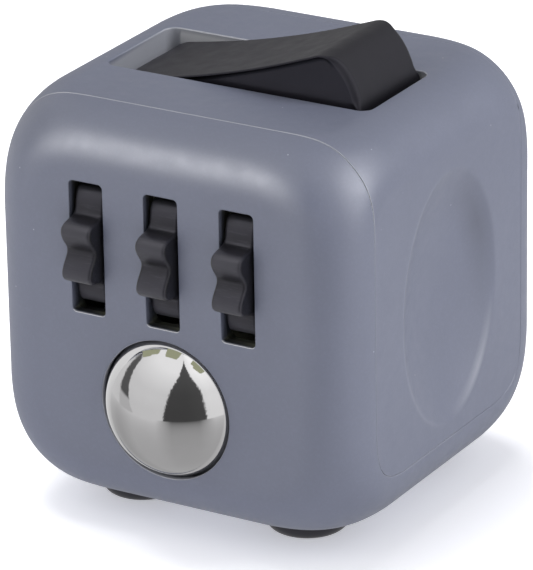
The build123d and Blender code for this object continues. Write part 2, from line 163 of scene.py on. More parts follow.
# ------------------------------------------------------------- mesh tools ----
class Skin:
    """An open surface: points, unit normals, faces, and tags on the rims of openings."""

    def __init__(self):
        self.points, self.normals, self.faces, self.tags = [], [], [], {}

    def add(self, points, normals, tag=None):
        first = len(self.points)
        for p, n in zip(points, normals):
            self.points.append(np.array(p, float))
            self.normals.append(np.array(n, float))
        ids = list(range(first, len(self.points)))
        if tag:
            for i in ids:
                self.tags[i] = tag
        return ids

    def bridge(self, row_a, row_b, closed=True):
        n = len(row_a)
        for i in range(n if closed else n - 1):
            j = (i + 1) % n
            self.faces.append((row_a[i], row_a[j], row_b[j], row_b[i]))

    def fan(self, ring, tip):
        for i in range(len(ring)):
            self.faces.append((ring[i], ring[(i + 1) % len(ring)], tip))

    def weld(self, reach=5e-4):
        """Merges points closer than reach, and drops the faces this collapses."""
        cells, remap, points, normals, tags = {}, [], [], [], {}
        for i, p in enumerate(self.points):
            cell = tuple(np.round(p / reach).astype(int))
            hit = None
            for step in product((-1, 0, 1), repeat=3):
                other = cells.get(tuple(c + s for c, s in zip(cell, step)))
                if other is not None and np.abs(points[other] - p).max() < reach:
                    hit = other
            if hit is None:
                hit = len(points)
                cells[cell] = hit
                points.append(p)
                normals.append(self.normals[i].copy())
            if i in self.tags:
                tags[hit] = self.tags[i]
            remap.append(hit)
        faces = []
        for face in self.faces:
            merged = [remap[i] for i in face]
            kept = [merged[k] for k in range(len(merged)) if merged[k] != merged[k - 1]]
            if len(set(kept)) == len(kept) and len(kept) >= 3:
                faces.append(tuple(kept))
        self.points, self.normals, self.faces, self.tags = points, normals, faces, tags

    def clip(self, axis, value, keep_above):
        """Cuts with a plane square to an axis and keeps one side."""
        sign = 1.0 if keep_above else -1.0
        height = [sign * (p[axis] - value) for p in self.points]
        cuts, faces = {}, []
        for face in self.faces:
            kept = []
            for k, i in enumerate(face):
                j = face[(k + 1) % len(face)]
                if height[i] >= -1e-7:
                    kept.append(i)
                down = height[i] > 1e-7 and height[j] < -1e-7
                up = height[i] < -1e-7 and height[j] > 1e-7
                if down or up:
                    a, b = edge = (min(i, j), max(i, j))
                    if edge not in cuts:
                        t = height[a] / (height[a] - height[b])
                        normal = self.normals[a] * (1 - t) + self.normals[b] * t
                        cuts[edge] = len(self.points)
                        self.points.append(self.points[a] * (1 - t) + self.points[b] * t)
                        self.normals.append(normal / np.linalg.norm(normal))
                        height.append(0.0)
                    kept.append(cuts[edge])
            if len(kept) >= 3 and any(height[i] > 1e-6 for i in kept):
                faces.append(tuple(kept))
        self.faces = faces

    def join(self, other):
        first = len(self.points)
        self.points += other.points
        self.normals += other.normals
        self.faces += [tuple(i + first for i in face) for face in other.faces]
        for i, tag in other.tags.items():
            self.tags[i + first] = tag

    def orient(self):
        """Turns faces over so that they look the way their normals point."""
        faces = []
        for face in self.faces:
            p = [self.points[i] for i in face]
            area = np.zeros(3)
            for k in range(1, len(face) - 1):
                area += np.cross(p[k] - p[0], p[k + 1] - p[0])
            normal = sum(self.normals[i] for i in face)
            faces.append(face if area @ normal >= 0 else tuple(reversed(face)))
        self.faces = faces
        return self


def object_from(name, verts, faces, sharp_degrees=48.0):
    """A smooth-shaded object in metres, with face-weighted normals."""
    mesh = bpy.data.meshes.new(name)
    mesh.from_pydata([tuple(p[i] * MM + MIDDLE[i] for i in range(3)) for p in verts], [], faces)
    mesh.validate(clean_customdata=False)
    mesh.update()
    mesh.shade_smooth()
    mesh.set_sharp_from_angle(angle=math.radians(sharp_degrees))
    ob = bpy.data.objects.new(name, mesh)
    bpy.context.scene.collection.objects.link(ob)
    weighted = ob.modifiers.new("weighted", "WEIGHTED_NORMAL")
    weighted.keep_sharp = True
    weighted.mode = "FACE_AREA"
    weighted.weight = 60
    return ob


def store_painted_light(ob, values):
    """Painted light per point: above 0 a painted highlight makes the plastic paler, below 0 painted
    shade makes it darker.
    """
    layer = ob.data.attributes.new("wear", "FLOAT", "POINT")
    layer.data.foreach_set("value", values)


def register(ob, ride, node, slot):
    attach(ob, ride)
    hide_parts(node)
    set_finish(ob, slot)


def open_loops(faces):
    """The closed loops of edges that belong to one face only."""
    edges = [(f[k], f[(k + 1) % len(f)]) for f in faces for k in range(len(f))]
    count = Counter((min(e), max(e)) for e in edges)
    following = {a: b for a, b in edges if count[(min(a, b), max(a, b))] == 1}
    seen = set()
    for start in following:
        if start in seen:
            continue
        loop = [start]
        # the length limit stops a pinched loop that never returns to its start
        while following[loop[-1]] != start and len(loop) < 20000:
            loop.append(following[loop[-1]])
        seen.update(loop)
        yield loop


def unit_rows(rows):
    return rows / np.maximum(np.linalg.norm(rows, axis=1, keepdims=True), 1e-9)


def shell_from(skin, name, rim_of, painted_light_of, wall_of=lambda point, normal: WALL):
    """Gives a skin its thickness. Every open edge gets a rounded lip and a wall.
    rim_of(tag) -> (gap, lip radius, [(depth, sideways), ...]); the last is the inner edge."""
    skin.weld()
    points, normals, skin_faces = skin.points, skin.normals, skin.faces
    verts = [p.copy() for p in points]
    faces = [tuple(f) for f in skin_faces]
    inner, wear = {}, {}
    for loop in open_loops(skin_faces):
        n = len(loop)
        tags = [skin.tags.get(i) for i in loop]
        tag = max(set(tags), key=tags.count) or "seam"
        gap, lip, steps = rim_of(tag)
        P = np.array([points[i] for i in loop])
        Q = np.array([normals[i] for i in loop])
        side_after = np.cross(Q, unit_rows(np.roll(P, -1, 0) - P))
        side_before = np.cross(Q, unit_rows(P - np.roll(P, 1, 0)))
        side = unit_rows(side_before + side_after)
        mitre = side / np.clip((side * side_after).sum(1, keepdims=True), 0.5, 1)
        base = P + mitre * gap
        rings = []
        for k in range(LIP_STEPS + 1):
            t = k / LIP_STEPS * math.pi / 2
            rings.append(base + mitre * lip * (1 - math.sin(t)) - Q * lip * (1 - math.cos(t)))
        for depth, sideways in steps:
            rings.append(base + mitre * sideways - Q * depth)
        for i, p in zip(loop, rings[0]):
            verts[i] = p
        rows = [loop]
        for ring in rings[1:]:
            rows.append(list(range(len(verts), len(verts) + n)))
            verts.extend(ring)
        for a, b in zip(rows[:-1], rows[1:]):
            for i in range(n):
                j = (i + 1) % n
                faces.append((a[j], a[i], b[i], b[j]))
        # painted highlight or painted shade for each ring of the rim
        for k, row in enumerate(rows):
            for i, vert in enumerate(row):
                wear[vert] = painted_light_of(tag, k, P[i])
        inner.update(zip(loop, rows[-1]))
    used = {i for face in skin_faces for i in face}
    for i, (point, normal) in enumerate(zip(points, normals)):
        if i in used and i not in inner:
            inner[i] = len(verts)
            verts.append(point - normal * wall_of(point, normal))
    for face in skin_faces:
        faces.append(tuple(inner[i] for i in reversed(face)))
    ob = object_from(name, verts, faces)
    store_painted_light(ob, [float(wear.get(i, 0.0)) for i in range(len(verts))])
    return ob


# ------------------------------------------------- flat outlines and filling ----
def inside(polygon, point):
    x, y = point
    result = False
    for i in range(len(polygon)):
        x0, y0 = polygon[i]
        x1, y1 = polygon[(i + 1) % len(polygon)]
        if (y0 > y) != (y1 > y) and x < (x1 - x0) * (y - y0) / (y1 - y0) + x0:
            result = not result
    return result


def closed_edges(first, n):
    return [(first + i, first + (i + 1) % n) for i in range(n)]


def triangulate(points, edges, outline, holes, epsilon):
    """Counter-clockwise triangles inside the outline and outside the holes, as point indices."""
    # output type 0 fills the whole convex hull, so triangles are picked by their middles
    cdt = delaunay_2d_cdt([Vector(p) for p in points], edges, [], 0, epsilon)
    co, triangles, origin = cdt[0], cdt[2], cdt[3]
    for tri in triangles:
        middle = (sum(co[i].x for i in tri) / 3, sum(co[i].y for i in tri) / 3)
        if not inside(outline, middle) or any(inside(h, middle) for h in holes):
            continue
        ids = [origin[i][0] for i in tri]
        a, b, c = (co[i] for i in tri)
        if (b.x - a.x) * (c.y - a.y) - (c.x - a.x) * (b.y - a.y) < 0:
            ids.reverse()
        yield ids


def rounded_rect(cx, cy, half_x, half_y, r, steps):
    points, normals = [], []
    for quarter, (sx, sy) in enumerate([(1, -1), (1, 1), (-1, 1), (-1, -1)]):
        for k in range(steps + 1):
            a = (quarter - 1) * math.pi / 2 + math.pi / 2 * k / steps
            n = (math.cos(a), math.sin(a))
            points.append((cx + sx * (half_x - r) + r * n[0], cy + sy * (half_y - r) + r * n[1]))
            normals.append(n)
    return np.array(points), np.array(normals)


def oval(cx, cy, rx, ry, n):
    t = np.linspace(0, 2 * math.pi, n, endpoint=False)
    points = np.stack([cx + rx * np.cos(t), cy + ry * np.sin(t)], 1)
    normals = np.stack([np.cos(t) / rx, np.sin(t) / ry], 1)
    return points, normals / np.linalg.norm(normals, axis=1, keepdims=True)


def circle(cx, cy, r, n):
    return oval(cx, cy, r, r, n)


# ---------------------------------------------------- surface of the cube ----
def near_core(P):
    """The nearest point of the core to each row of P (all coordinates positive)."""
    p = P / CORE
    u = np.minimum(p, 1.0)
    far = (u ** POWER).sum(1) > CORE_LEVEL
    if far.any():
        q = p[far]
        low, high = np.zeros(len(q)), np.full(len(q), 4.0)
        for _ in range(34):         # bisection on the multiplier
            mu = ((low + high) / 2)[:, None]
            x = np.minimum(q, (q / np.maximum(mu, 1e-9)) ** (1.0 / (POWER - 1)))
            for _ in range(7):      # Newton steps on each coordinate
                slope = 1 + (POWER - 1) * mu * x ** (POWER - 2)
                x = x - (x + mu * x ** (POWER - 1) - q) / slope
            x = np.minimum(x, 1.0)
            big = (x ** POWER).sum(1) > CORE_LEVEL
            low = np.where(big, mu[:, 0], low)
            high = np.where(big, high, mu[:, 0])
        u[far] = x
    return u * CORE


def on_surface(P):
    """Moves points onto the surface; returns them and their normals."""
    q = near_core(P)
    d = P - q
    d /= np.linalg.norm(d, axis=1, keepdims=True)
    return q + d * EDGE_R, d


def cast(directions):
    """Where rays from the corner patch's middle meet the surface."""
    origin = np.full(3, STRAIGHT)
    low, high = np.zeros(len(directions)), np.full(len(directions), 14.0)
    for _ in range(30):
        reach = (low + high) / 2
        p = origin + directions * reach[:, None]
        within = np.linalg.norm(p - near_core(p), axis=1) < EDGE_R
        low, high = np.where(within, reach, low), np.where(within, high, reach)
    return on_surface(origin + directions * low[:, None])


def corner_arc(k):
    """The k-th point of a flat face's soft corner, from (CORE, STRAIGHT) to (STRAIGHT, CORE)."""
    start = math.atan2(STRAIGHT, CORE)
    t = start + (math.pi / 2 - 2 * start) * k / ARC_STEPS
    c, s = math.cos(t), math.sin(t)
    level = 1 + (STRAIGHT / CORE) ** POWER
    r = CORE * (level / (c ** POWER + s ** POWER)) ** (1.0 / POWER)
    return r * c, r * s


def corner_patch_rings():
    """Rings of (points, normals) over the corner at +X +Y +Z, and its tip."""
    third = []
    for k in range(ARC_STEPS):
        y, z = corner_arc(k)
        third.append(((HALF, y, z), (1, 0, 0)))
    for k in range(EDGE_STEPS):
        t = math.pi / 2 * k / EDGE_STEPS
        c, s = math.cos(t), math.sin(t)
        third.append(((CORE + EDGE_R * c, STRAIGHT, CORE + EDGE_R * s), (c, 0, s)))
    rim = []
    for turn in range(3):
        for p, n in third:
            for _ in range(turn):
                p, n = (p[1], p[2], p[0]), (n[1], n[2], n[0])
            rim.append((p, n))
    P = np.array([p for p, _ in rim], float)
    Q = np.array([n for _, n in rim], float)
    diagonal = np.ones(3) / math.sqrt(3)
    D = P - STRAIGHT
    D /= np.linalg.norm(D, axis=1, keepdims=True)
    shares = [k / CORNER_RINGS for k in range(1, CORNER_RINGS)]
    U = np.concatenate([D * (1 - s) + diagonal * s for s in shares] + [diagonal[None, :]])
    U /= np.linalg.norm(U, axis=1, keepdims=True)
    points, normals = cast(U)
    # points close to the seam planes move onto them, so that the seam is clean
    for axis in range(3):
        hit = np.abs(points[:, axis] - CORE) < 0.16
        for _ in range(12):
            points[hit, axis] = CORE
            points[hit], normals[hit] = on_surface(points[hit])
        points[hit, axis] = CORE
    m = len(P)
    rings = [(P, Q)]
    for k in range(CORNER_RINGS - 1):
        rings.append((points[k * m:(k + 1) * m], normals[k * m:(k + 1) * m]))
    return rings, (points[-1], normals[-1])


CORNER_PATCH, CORNER_TIP = corner_patch_rings()


def corner(sx, sy, sz):
    """The corner patch in the octant with these signs."""
    signs = np.array([sx, sy, sz], float)
    skin = Skin()
    rows = [skin.add(p * signs, n * signs) for p, n in CORNER_PATCH]
    tip = skin.add([CORNER_TIP[0] * signs], [CORNER_TIP[1] * signs])[0]
    for a, b in zip(rows[:-1], rows[1:]):
        skin.bridge(a, b)
    skin.fan(rows[-1], tip)
    return skin.orient()


def edge_strip(axis, sign_1, sign_2, last=EDGE_STEPS):
    """Rounded edge along an axis; the signs are those of the next two axes in cyclic order."""
    axis_1, axis_2 = (axis + 1) % 3, (axis + 2) % 3
    skin = Skin()
    rows = []
    for k in range(last + 1):
        t = math.pi / 2 * k / EDGE_STEPS
        normal = np.zeros(3)
        normal[axis_1], normal[axis_2] = sign_1 * math.sin(t), sign_2 * math.cos(t)
        points = []
        for m in range(SIDE_STEPS + 1):
            p = normal * EDGE_R
            p[axis] = -STRAIGHT + 2 * STRAIGHT * m / SIDE_STEPS
            p[axis_1] += sign_1 * CORE
            p[axis_2] += sign_2 * CORE
            points.append(p)
        rows.append(skin.add(points, [normal] * len(points)))
    for a, b in zip(rows[:-1], rows[1:]):
        skin.bridge(a, b, closed=False)
    return skin.orient()


def edge_row_at(row):
    """How far out from the middle a line of a rounded edge lies."""
    return CORE + EDGE_R * math.sin(math.pi / 2 * row / EDGE_STEPS)


def face_outline(over):
    """Outline of a flat face in its own two axes, and the lines that cross it.
    over: {side: rows} of the rounded edge the face takes in (side 0 +u, 1 +v, 2 -u, 3 -v)."""
    points, lines = [], []
    side = [-STRAIGHT + 2 * STRAIGHT * m / SIDE_STEPS for m in range(SIDE_STEPS + 1)]
    for quarter, (c, s) in enumerate([(1, 0), (0, 1), (-1, 0), (0, -1)]):
        rows = over.get(quarter, 0)
        run = [(edge_row_at(j), side[0]) for j in range(rows)]
        run += [(edge_row_at(rows), y) for y in side]
        run += [(edge_row_at(j), side[-1]) for j in range(rows - 1, -1, -1)]
        run += [corner_arc(m) for m in range(1, ARC_STEPS)]
        first = len(points)
        points += [(x * c - y * s, x * s + y * c) for x, y in run]
        for j in range(rows):
            lines.append((first + j, first + 2 * rows + len(side) - 1 - j))
    return np.array(points), lines


def flat_face(u, v, features, over=None, collar=0.34):
    """One flat face with axes u, v and outward normal u x v.
    features: [(loop points, loop normals, tag)], each with a collar of faces round it."""
    u, v = np.array(u, float), np.array(v, float)
    w = np.cross(u, v)
    over = over or {}
    skin = Skin()
    outline, lines = face_outline(over)

    def fall(p):
        """How far the face drops over a rounded edge at p, and its normal there."""
        drop, normal = 0.0, w.copy()
        for side, past in enumerate((p[0] - CORE, p[1] - CORE, -p[0] - CORE, -p[1] - CORE)):
            if side in over and past > 1e-9:
                drop += EDGE_R - math.sqrt(EDGE_R * EDGE_R - past * past)
                outward = (u, v, -u, -v)[side]
                t = past / EDGE_R
                normal = w * math.sqrt(1 - t ** 2) + outward * t
        return drop, normal

    def lift(p, depth=0.0):
        return u * p[0] + v * p[1] + w * (HALF - depth - fall(p)[0])

    def put(P, tag=None):
        return skin.add([lift(p) for p in P], [fall(p)[1] for p in P], tag)

    flat, flat_ids = list(outline), put(outline)
    edges = closed_edges(0, len(outline))
    holes = []
    for points, normals, tag in features:
        far = points + normals * collar
        far_ids = put(far)
        rim_ids = put(points, None if tag == "dish" else tag)
        skin.bridge(rim_ids, far_ids)
        edges += closed_edges(len(flat), len(far))
        flat += list(far)
        flat_ids += far_ids
        holes.append(far)
        if tag == "dish":
            fill_dish(skin, points, rim_ids, lift, w)

    # lines across the rounded part keep its rows straight; they break off near the holes
    grown = []
    for hole in holes:
        out = hole - hole.mean(0)
        grown.append(hole + out / np.linalg.norm(out, axis=1, keepdims=True) * 0.2)
    for start, end in lines:
        p0, p1 = flat[start], flat[end]
        previous = start
        for k in range(1, 40):
            p = p0 + (p1 - p0) * k / 40
            if any(inside(h, p) for h in grown):
                previous = None
                continue
            flat.append(p)
            flat_ids += put([p])
            if previous is not None:
                edges.append((previous, len(flat) - 1))
            previous = len(flat) - 1
        if previous is not None:
            edges.append((previous, end))
    for tri in triangulate(flat, edges, outline, holes, 1e-6):
        skin.faces.append(tuple(flat_ids[i] for i in tri))
    return skin.orient()


def dish_depth(s):
    """Depth of the bowl at s times its outline: it runs out softly just past the outline."""
    def bowl(x):
        h = 1 - x * x
        return 0.5 * (h + math.sqrt(h * h + DISH_SOFTNESS ** 2))
    end = bowl(DISH_REACH)
    return DISH_DEPTH * max(0.0, bowl(s) - end) / (bowl(0) - end)


def fill_dish(skin, points, rim_ids, lift, w):
    """Fills the oval with rings that sink as a shallow bowl."""
    previous = rim_ids
    outline = points / DISH_REACH
    ds = 1e-3
    for s in DISH_RINGS:
        slope = (dish_depth(s + ds) - dish_depth(s - ds)) / (2 * ds)
        ring, normals = [], []
        for p in outline:
            ring.append(lift(p * s, dish_depth(s)))
            t = math.atan2(p[1] / DISH_HALF_Z, p[0] / DISH_HALF_Y)
            g = np.array([math.cos(t) / DISH_HALF_Y, math.sin(t) / DISH_HALF_Z]) * slope
            normal = w + (lift(g) - lift((0, 0)))
            normals.append(normal / np.linalg.norm(normal))
        ids = skin.add(ring, normals)
        skin.bridge(ids, previous)
        previous = ids
    middle = skin.add([lift((0, 0), dish_depth(0))], [w])[0]
    skin.fan(previous, middle)


# ----------------------------------------------------------------- casing ----
X, Y, Z = (1, 0, 0), (0, 1, 0), (0, 0, 1)
SEAM_RIM = (0.006, 0.075, [(0.5, 0.0), (1.2, 0.0), (WALL, 0.0)])


def top_skin():
    """Top face, left and right faces, and the two rounded edges between them."""
    skin = Skin()
    opening = rounded_rect(0, 0, *ROCKER_OPENING, r=1.0, steps=8)
    skin.join(flat_face(X, Y, [(*opening, "open")], over={0: 1, 2: 1}, collar=0.25))
    dish = oval(0, 0, DISH_HALF_Y * DISH_REACH, DISH_HALF_Z * DISH_REACH, 120)
    skin.join(flat_face(Y, Z, [(*dish, "dish")], collar=0.22))
    skin.join(flat_face(Z, Y, [(*circle(0, 0, DIAL_HOLE_R, 72), "dial")]))
    for sx in (-1, 1):
        skin.join(edge_strip(1, 1, sx, EDGE_STEPS - 1))   # its last row is in the top face
        for sy in (-1, 1):
            part = corner(sx, sy, 1)
            part.clip(axis=1, value=CORE * sy, keep_above=sy < 0)
            skin.join(part)
    return skin


def main_skin():
    """Front, bottom and back faces with the remaining edges and corners."""
    skin = Skin()
    front = []
    for wheel in ("left", "middle", "right"):
        slot = rounded_rect(joint_at(f"wheel_{wheel}_spin")[0], (SLOT_LOW + SLOT_HIGH) / 2,
                            SLOT_WIDTH / 2, (SLOT_HIGH - SLOT_LOW) / 2, r=0.38, steps=6)
        front.append((*slot, "slot"))
    front.append((*circle(0, BALL[2], BALL_OPENING_R, 144), "ball"))
    skin.join(flat_face(X, Z, front, over={3: 3}, collar=0.30))
    skin.join(flat_face(Z, X, [(*circle(0, 0, STICK_OPENING_R, 120), "stick")]))
    holes = [(*circle(y, x, BUTTON_HOLE_R, 72), "button") for x, y in BUTTONS.values()]
    skin.join(flat_face(Y, X, holes))
    for sy in (-1, 1):
        for sz in (-1, 1):
            # the last three rows below the front belong to the front face
            last = EDGE_STEPS - 3 if (sy, sz) == (-1, -1) else EDGE_STEPS
            skin.join(edge_strip(0, sy, sz, last))
        for sx in (-1, 1):
            skin.join(edge_strip(2, sx, sy))
            part = corner(sx, sy, 1)
            part.clip(axis=1, value=CORE * sy, keep_above=sy > 0)
            skin.join(part)
            skin.join(corner(sx, sy, -1))
    for sx in (-1, 1):
        skin.join(edge_strip(1, -1, sx))
    return skin


def top_wall(point, normal):
    """The wall thins as the dish sinks."""
    depth = HALF - point[0]
    return WALL - 0.35 * depth if depth < 2.2 and normal[0] > 0.7 else WALL


def top_rim(tag):
    return {
        "open": (0.0, 0.12, [(0.6, 0.0), (1.99, 0.0)]),
        "dial": (0.0, 0.12, [(0.6, 0.0), (WALL, 0.0)]),
    }.get(tag, SEAM_RIM)


def ball_seat(depth):
    """Sideways step of the ball's opening, to clear the ball."""
    y = -HALF + depth - BALL[1]
    return max(0.0, math.sqrt(max((BALL_R + BALL_GAP) ** 2 - y * y, 0)) - BALL_OPENING_R)


def stick_socket(depth):
    y = HALF - depth - STICK_SOCKET_Y
    return math.sqrt(STICK_SOCKET_R ** 2 - y * y) - STICK_OPENING_R


def main_rim(tag):
    return {
        "slot": (0.0, 0.07, [(0.30, 0.0), (0.55, 0.0), (0.88, 0.0),
                             (0.95, 0.06), (1.0, 0.30), (WALL, 0.30)]),
        "ball": (0.0, 0.10, [(d, ball_seat(d)) for d in (0.35, 0.7, 1.0, 1.35, 1.7, WALL)]),
        "stick": (0.0, 0.10, [(d, stick_socket(d)) for d in (0.3, 0.7, 1.0, 1.4, 1.7, WALL)]),
        "button": (0.0, 0.14, [(0.6, 0.0), (WALL, 0.0)]),
    }.get(tag, SEAM_RIM)


def slot_painted_light(ring, x, z):
    """Painted highlight on the lower lip; painted light makes the left side of each slot lighter
    than the right; painted shade further in.
    """
    if z < 0.25:
        return 0.80 if ring <= LIP_STEPS else -0.95
    off = x - SLOT_PITCH * round(x / SLOT_PITCH)
    if off < -0.8 and z < 10.6:
        if ring <= LIP_STEPS:
            return 0.05
        return -0.2 if ring == LIP_STEPS + 1 else -0.6
    return -0.35 if ring <= LIP_STEPS + 1 else -0.95


def case_painted_light(tag, ring, point):
    """Painted light on a ring of an opening's rim, counted from the outer surface inwards: painted
    highlight above 0, painted shade below 0.
    """
    x, y, z = point
    on_lip = ring <= LIP_STEPS
    if ring == 0:
        return 0.0
    if tag == "seam":       # painted highlight on the seam lip, strongest along the upper front
        if y > 0.0:
            return 0.05
        return 0.18 + 0.34 * min(1.0, max(0.0, (z - 6.0) / 6.0)) if ring <= 2 else 0.08
    if tag == "open":       # painted light: paler walls, dimmer at the left end, and a painted highlight on the back lip
        if on_lip:
            return 0.4 if y > 3.0 else 0.0
        return 0.42 if x < -11.2 else 1.2
    if tag == "slot":
        return slot_painted_light(ring, x, z)
    # painted light on the inner wall of the ball's opening
    if tag == "ball":
        return 0.0 if ring <= 1 else 0.5
    # other openings: painted highlight on the lip, painted shade further in
    return 0.1 if on_lip else -0.5


def near(value, middle, reach):
    """1 at the middle, falling to 0 at the reach."""
    return max(0.0, 1.0 - abs(value - middle) / reach)


def paint_dish_light(ob):
    """Painted highlight on the lip low at the back and at the front, painted shade on the wall high
    at the back.
    """
    layer = ob.data.attributes["wear"]
    values = [0.0] * len(ob.data.vertices)
    layer.data.foreach_get("value", values)
    for vert in ob.data.vertices:
        x, y, z = (vert.co[k] / MM - MIDDLE[k] / MM for k in range(3))
        r = math.hypot(y / DISH_HALF_Y, z / DISH_HALF_Z)
        if x < 13.5 or r > 1.05:
            continue
        turn = math.degrees(math.atan2(z / DISH_HALF_Z, y / DISH_HALF_Y))  # 0 back, 90 top
        values[vert.index] = (0.30 * near(turn, -48.0, 40.0) * near(r, 0.965, 0.05)
                              - 0.26 * near(turn, 30.0, 55.0) * near(r, 0.84, 0.22)
                              + 0.10 * near(abs(turn), 150.0, 60.0) * near(r, 1.0, 0.03))
    layer.data.foreach_set("value", values)


def build_casing():
    top = shell_from(top_skin(), "casing_top", top_rim, case_painted_light, top_wall)
    main = shell_from(main_skin(), "casing_main", main_rim, case_painted_light)
    register(top, "cube", "top_shell", "casing")
    register(main, "cube", "base_shell", "casing")
    paint_dish_light(top)


# ---------------------------------------------------------- turned pieces ----
def facing_out(verts, faces, origin):
    """Turns all the faces over if the form is inside out."""
    volume = 0.0
    for f in faces:
        for k in range(1, len(f) - 1):
            volume += np.dot(verts[f[0]] - origin,
                             np.cross(verts[f[k]] - origin, verts[f[k + 1]] - origin))
    return [tuple(reversed(f)) for f in faces] if volume < 0 else faces


def lathe(name, profile, origin, axis, segments, shape=None):
    """Turns a profile of (along, radius) about an axis. Ends at radius 0 close to a point.
    shape(along, radius, angle) may move each point."""
    origin = np.array(origin, float)
    axis = np.array(axis, float)
    side = np.array((0, 0, 1.0)) if abs(axis[2]) < 0.9 else np.array((1.0, 0, 0))
    other = np.cross(axis, side)
    verts, rows = [], []
    for along, radius in profile:
        if radius < 1e-6:
            rows.append([len(verts)])
            verts.append(origin + axis * along)
            continue
        rows.append(list(range(len(verts), len(verts) + segments)))
        for i in range(segments):
            t = 2 * math.pi * i / segments
            h, r = shape(along, radius, t) if shape else (along, radius)
            verts.append(origin + axis * h + (side * math.cos(t) + other * math.sin(t)) * r)
    faces = []
    for a, b in zip(rows[:-1], rows[1:]):
        for i in range(segments):
            j = (i + 1) % segments
            if len(a) == 1:
                faces.append((a[0], b[i], b[j]))
            elif len(b) == 1:
                faces.append((a[i], b[0], a[j]))
            else:
                faces.append((a[i], b[i], b[j], a[j]))
    return object_from(name, verts, facing_out(verts, faces, origin))


def build_ball():
    steps = 96
    angles = [math.pi * k / steps for k in range(steps + 1)]
    profile = [(-BALL_R * math.cos(a), BALL_R * math.sin(a)) for a in angles]
    register(lathe("roller_ball", profile, BALL, Y, 192), "ball", "ball", "ball_steel")


def build_buttons():
    """Five equal buttons, each with its rounded cap, flange, ring pocket and stem."""
    tip = -HALF - 2.0
    round_r = 0.85
    profile = [(tip + 0.10, 0.0), (tip + 0.06, 1.2), (tip + 0.02, 2.0), (tip, 2.4)]
    for degrees in range(0, 91, 10):
        a = math.radians(degrees)
        profile.append((tip + round_r - round_r * math.cos(a), 2.55 + round_r * math.sin(a)))
    profile += [(-16.6, 3.45), (-14.6, 3.5), (-14.5, 3.55),
                (-14.48, 4.12), (-14.42, 4.2), (-13.58, 4.2), (-13.5, 4.12),    # flange
                (-13.5, 2.98), (-13.58, 2.9), (-17.0, 2.9), (-17.1, 2.8),       # pocket
                (-17.1, 1.3), (-17.0, 1.2), (-10.75, 1.2), (-10.6, 1.05), (-10.6, 0.0)]  # stem
    for name, (x, y) in BUTTONS.items():
        ob = lathe(name + "_cap", profile, (x, y, 0), Z, 72)
        register(ob, name, name, "button_black")


def build_dial():
    """Spin dial: smooth rim, finger grip behind it, hollow face with a fingertip spot."""
    face_x = -HALF - 2.4
    hollow_depth, hollow_r = 0.70, 7.6
    rim_r = 0.85
    groove_count, groove_depth = 36, 0.20
    spot_off, spot_r, spot_depth = 6.4, 2.25, 0.85

    def shape(h, r, t):
        if r > 10.0 and -1.45 - HALF < h < -HALF - 0.05:
            r -= groove_depth * max(0.0, math.cos(groove_count * t)) ** 1.5
        if h < -HALF - 1.5 and r < 9.3:
            dx, dz = r * math.cos(t) - spot_off, r * math.sin(t)
            q = (dx * dx + dz * dz) / spot_r ** 2
            if q < 1.6:
                h += spot_depth * math.exp(-q * q * 1.6)
        return h, r

    profile = []
    for k in range(31):
        r = hollow_r * k / 30
        rise = max(0.0, 1 - (r / hollow_r) ** 2) ** 1.15
        profile.append((face_x + hollow_depth * rise, r))
    profile += [(face_x, 7.9), (face_x, 8.4), (face_x, 8.9), (face_x, 9.3)]
    for degrees in range(10, 91, 10):
        a = math.radians(degrees)
        profile.append((face_x + rim_r - rim_r * math.cos(a), 9.4 + rim_r * math.sin(a)))
    profile += [(-HALF - 1.48, 10.25), (-HALF - 1.42, 10.18), (-HALF - 1.38, 10.2),
                (-HALF - 0.25, 10.2), (-HALF - 0.1, 10.05), (-HALF - 0.1, 3.6),
                (-HALF - 0.1, 3.5), (-14.25, 3.5), (-14.2, 3.45), (-14.2, 0.0)]
    ob = lathe("spin_dial", profile, (0, 0, 0), X, 432, shape)
    register(ob, "dial", "dial", "control_black")


def build_joystick_dome(pivot):
    """A thin dome with a stub inside it."""
    outer_r, inner_r, rim_degrees = 7.4, 6.5, 64.0

    def arc(radius, start, end, count):
        angles = [math.radians(a) for a in np.linspace(start, end, count)]
        return [(radius * math.cos(a), radius * math.sin(a)) for a in angles]

    profile = arc(outer_r, 0, rim_degrees, 40) + arc(inner_r, rim_degrees, 15.5, 26)
    profile += [(5.9, 1.62), (1.6, 1.6), (1.4, 1.5), (-1.2, 1.5), (-1.4, 1.3), (-1.4, 0.0)]
    ob = lathe("joystick_dome_skin", profile, pivot, Y, 128)
    register(ob, "joystick", "joystick_dome", "control_black")


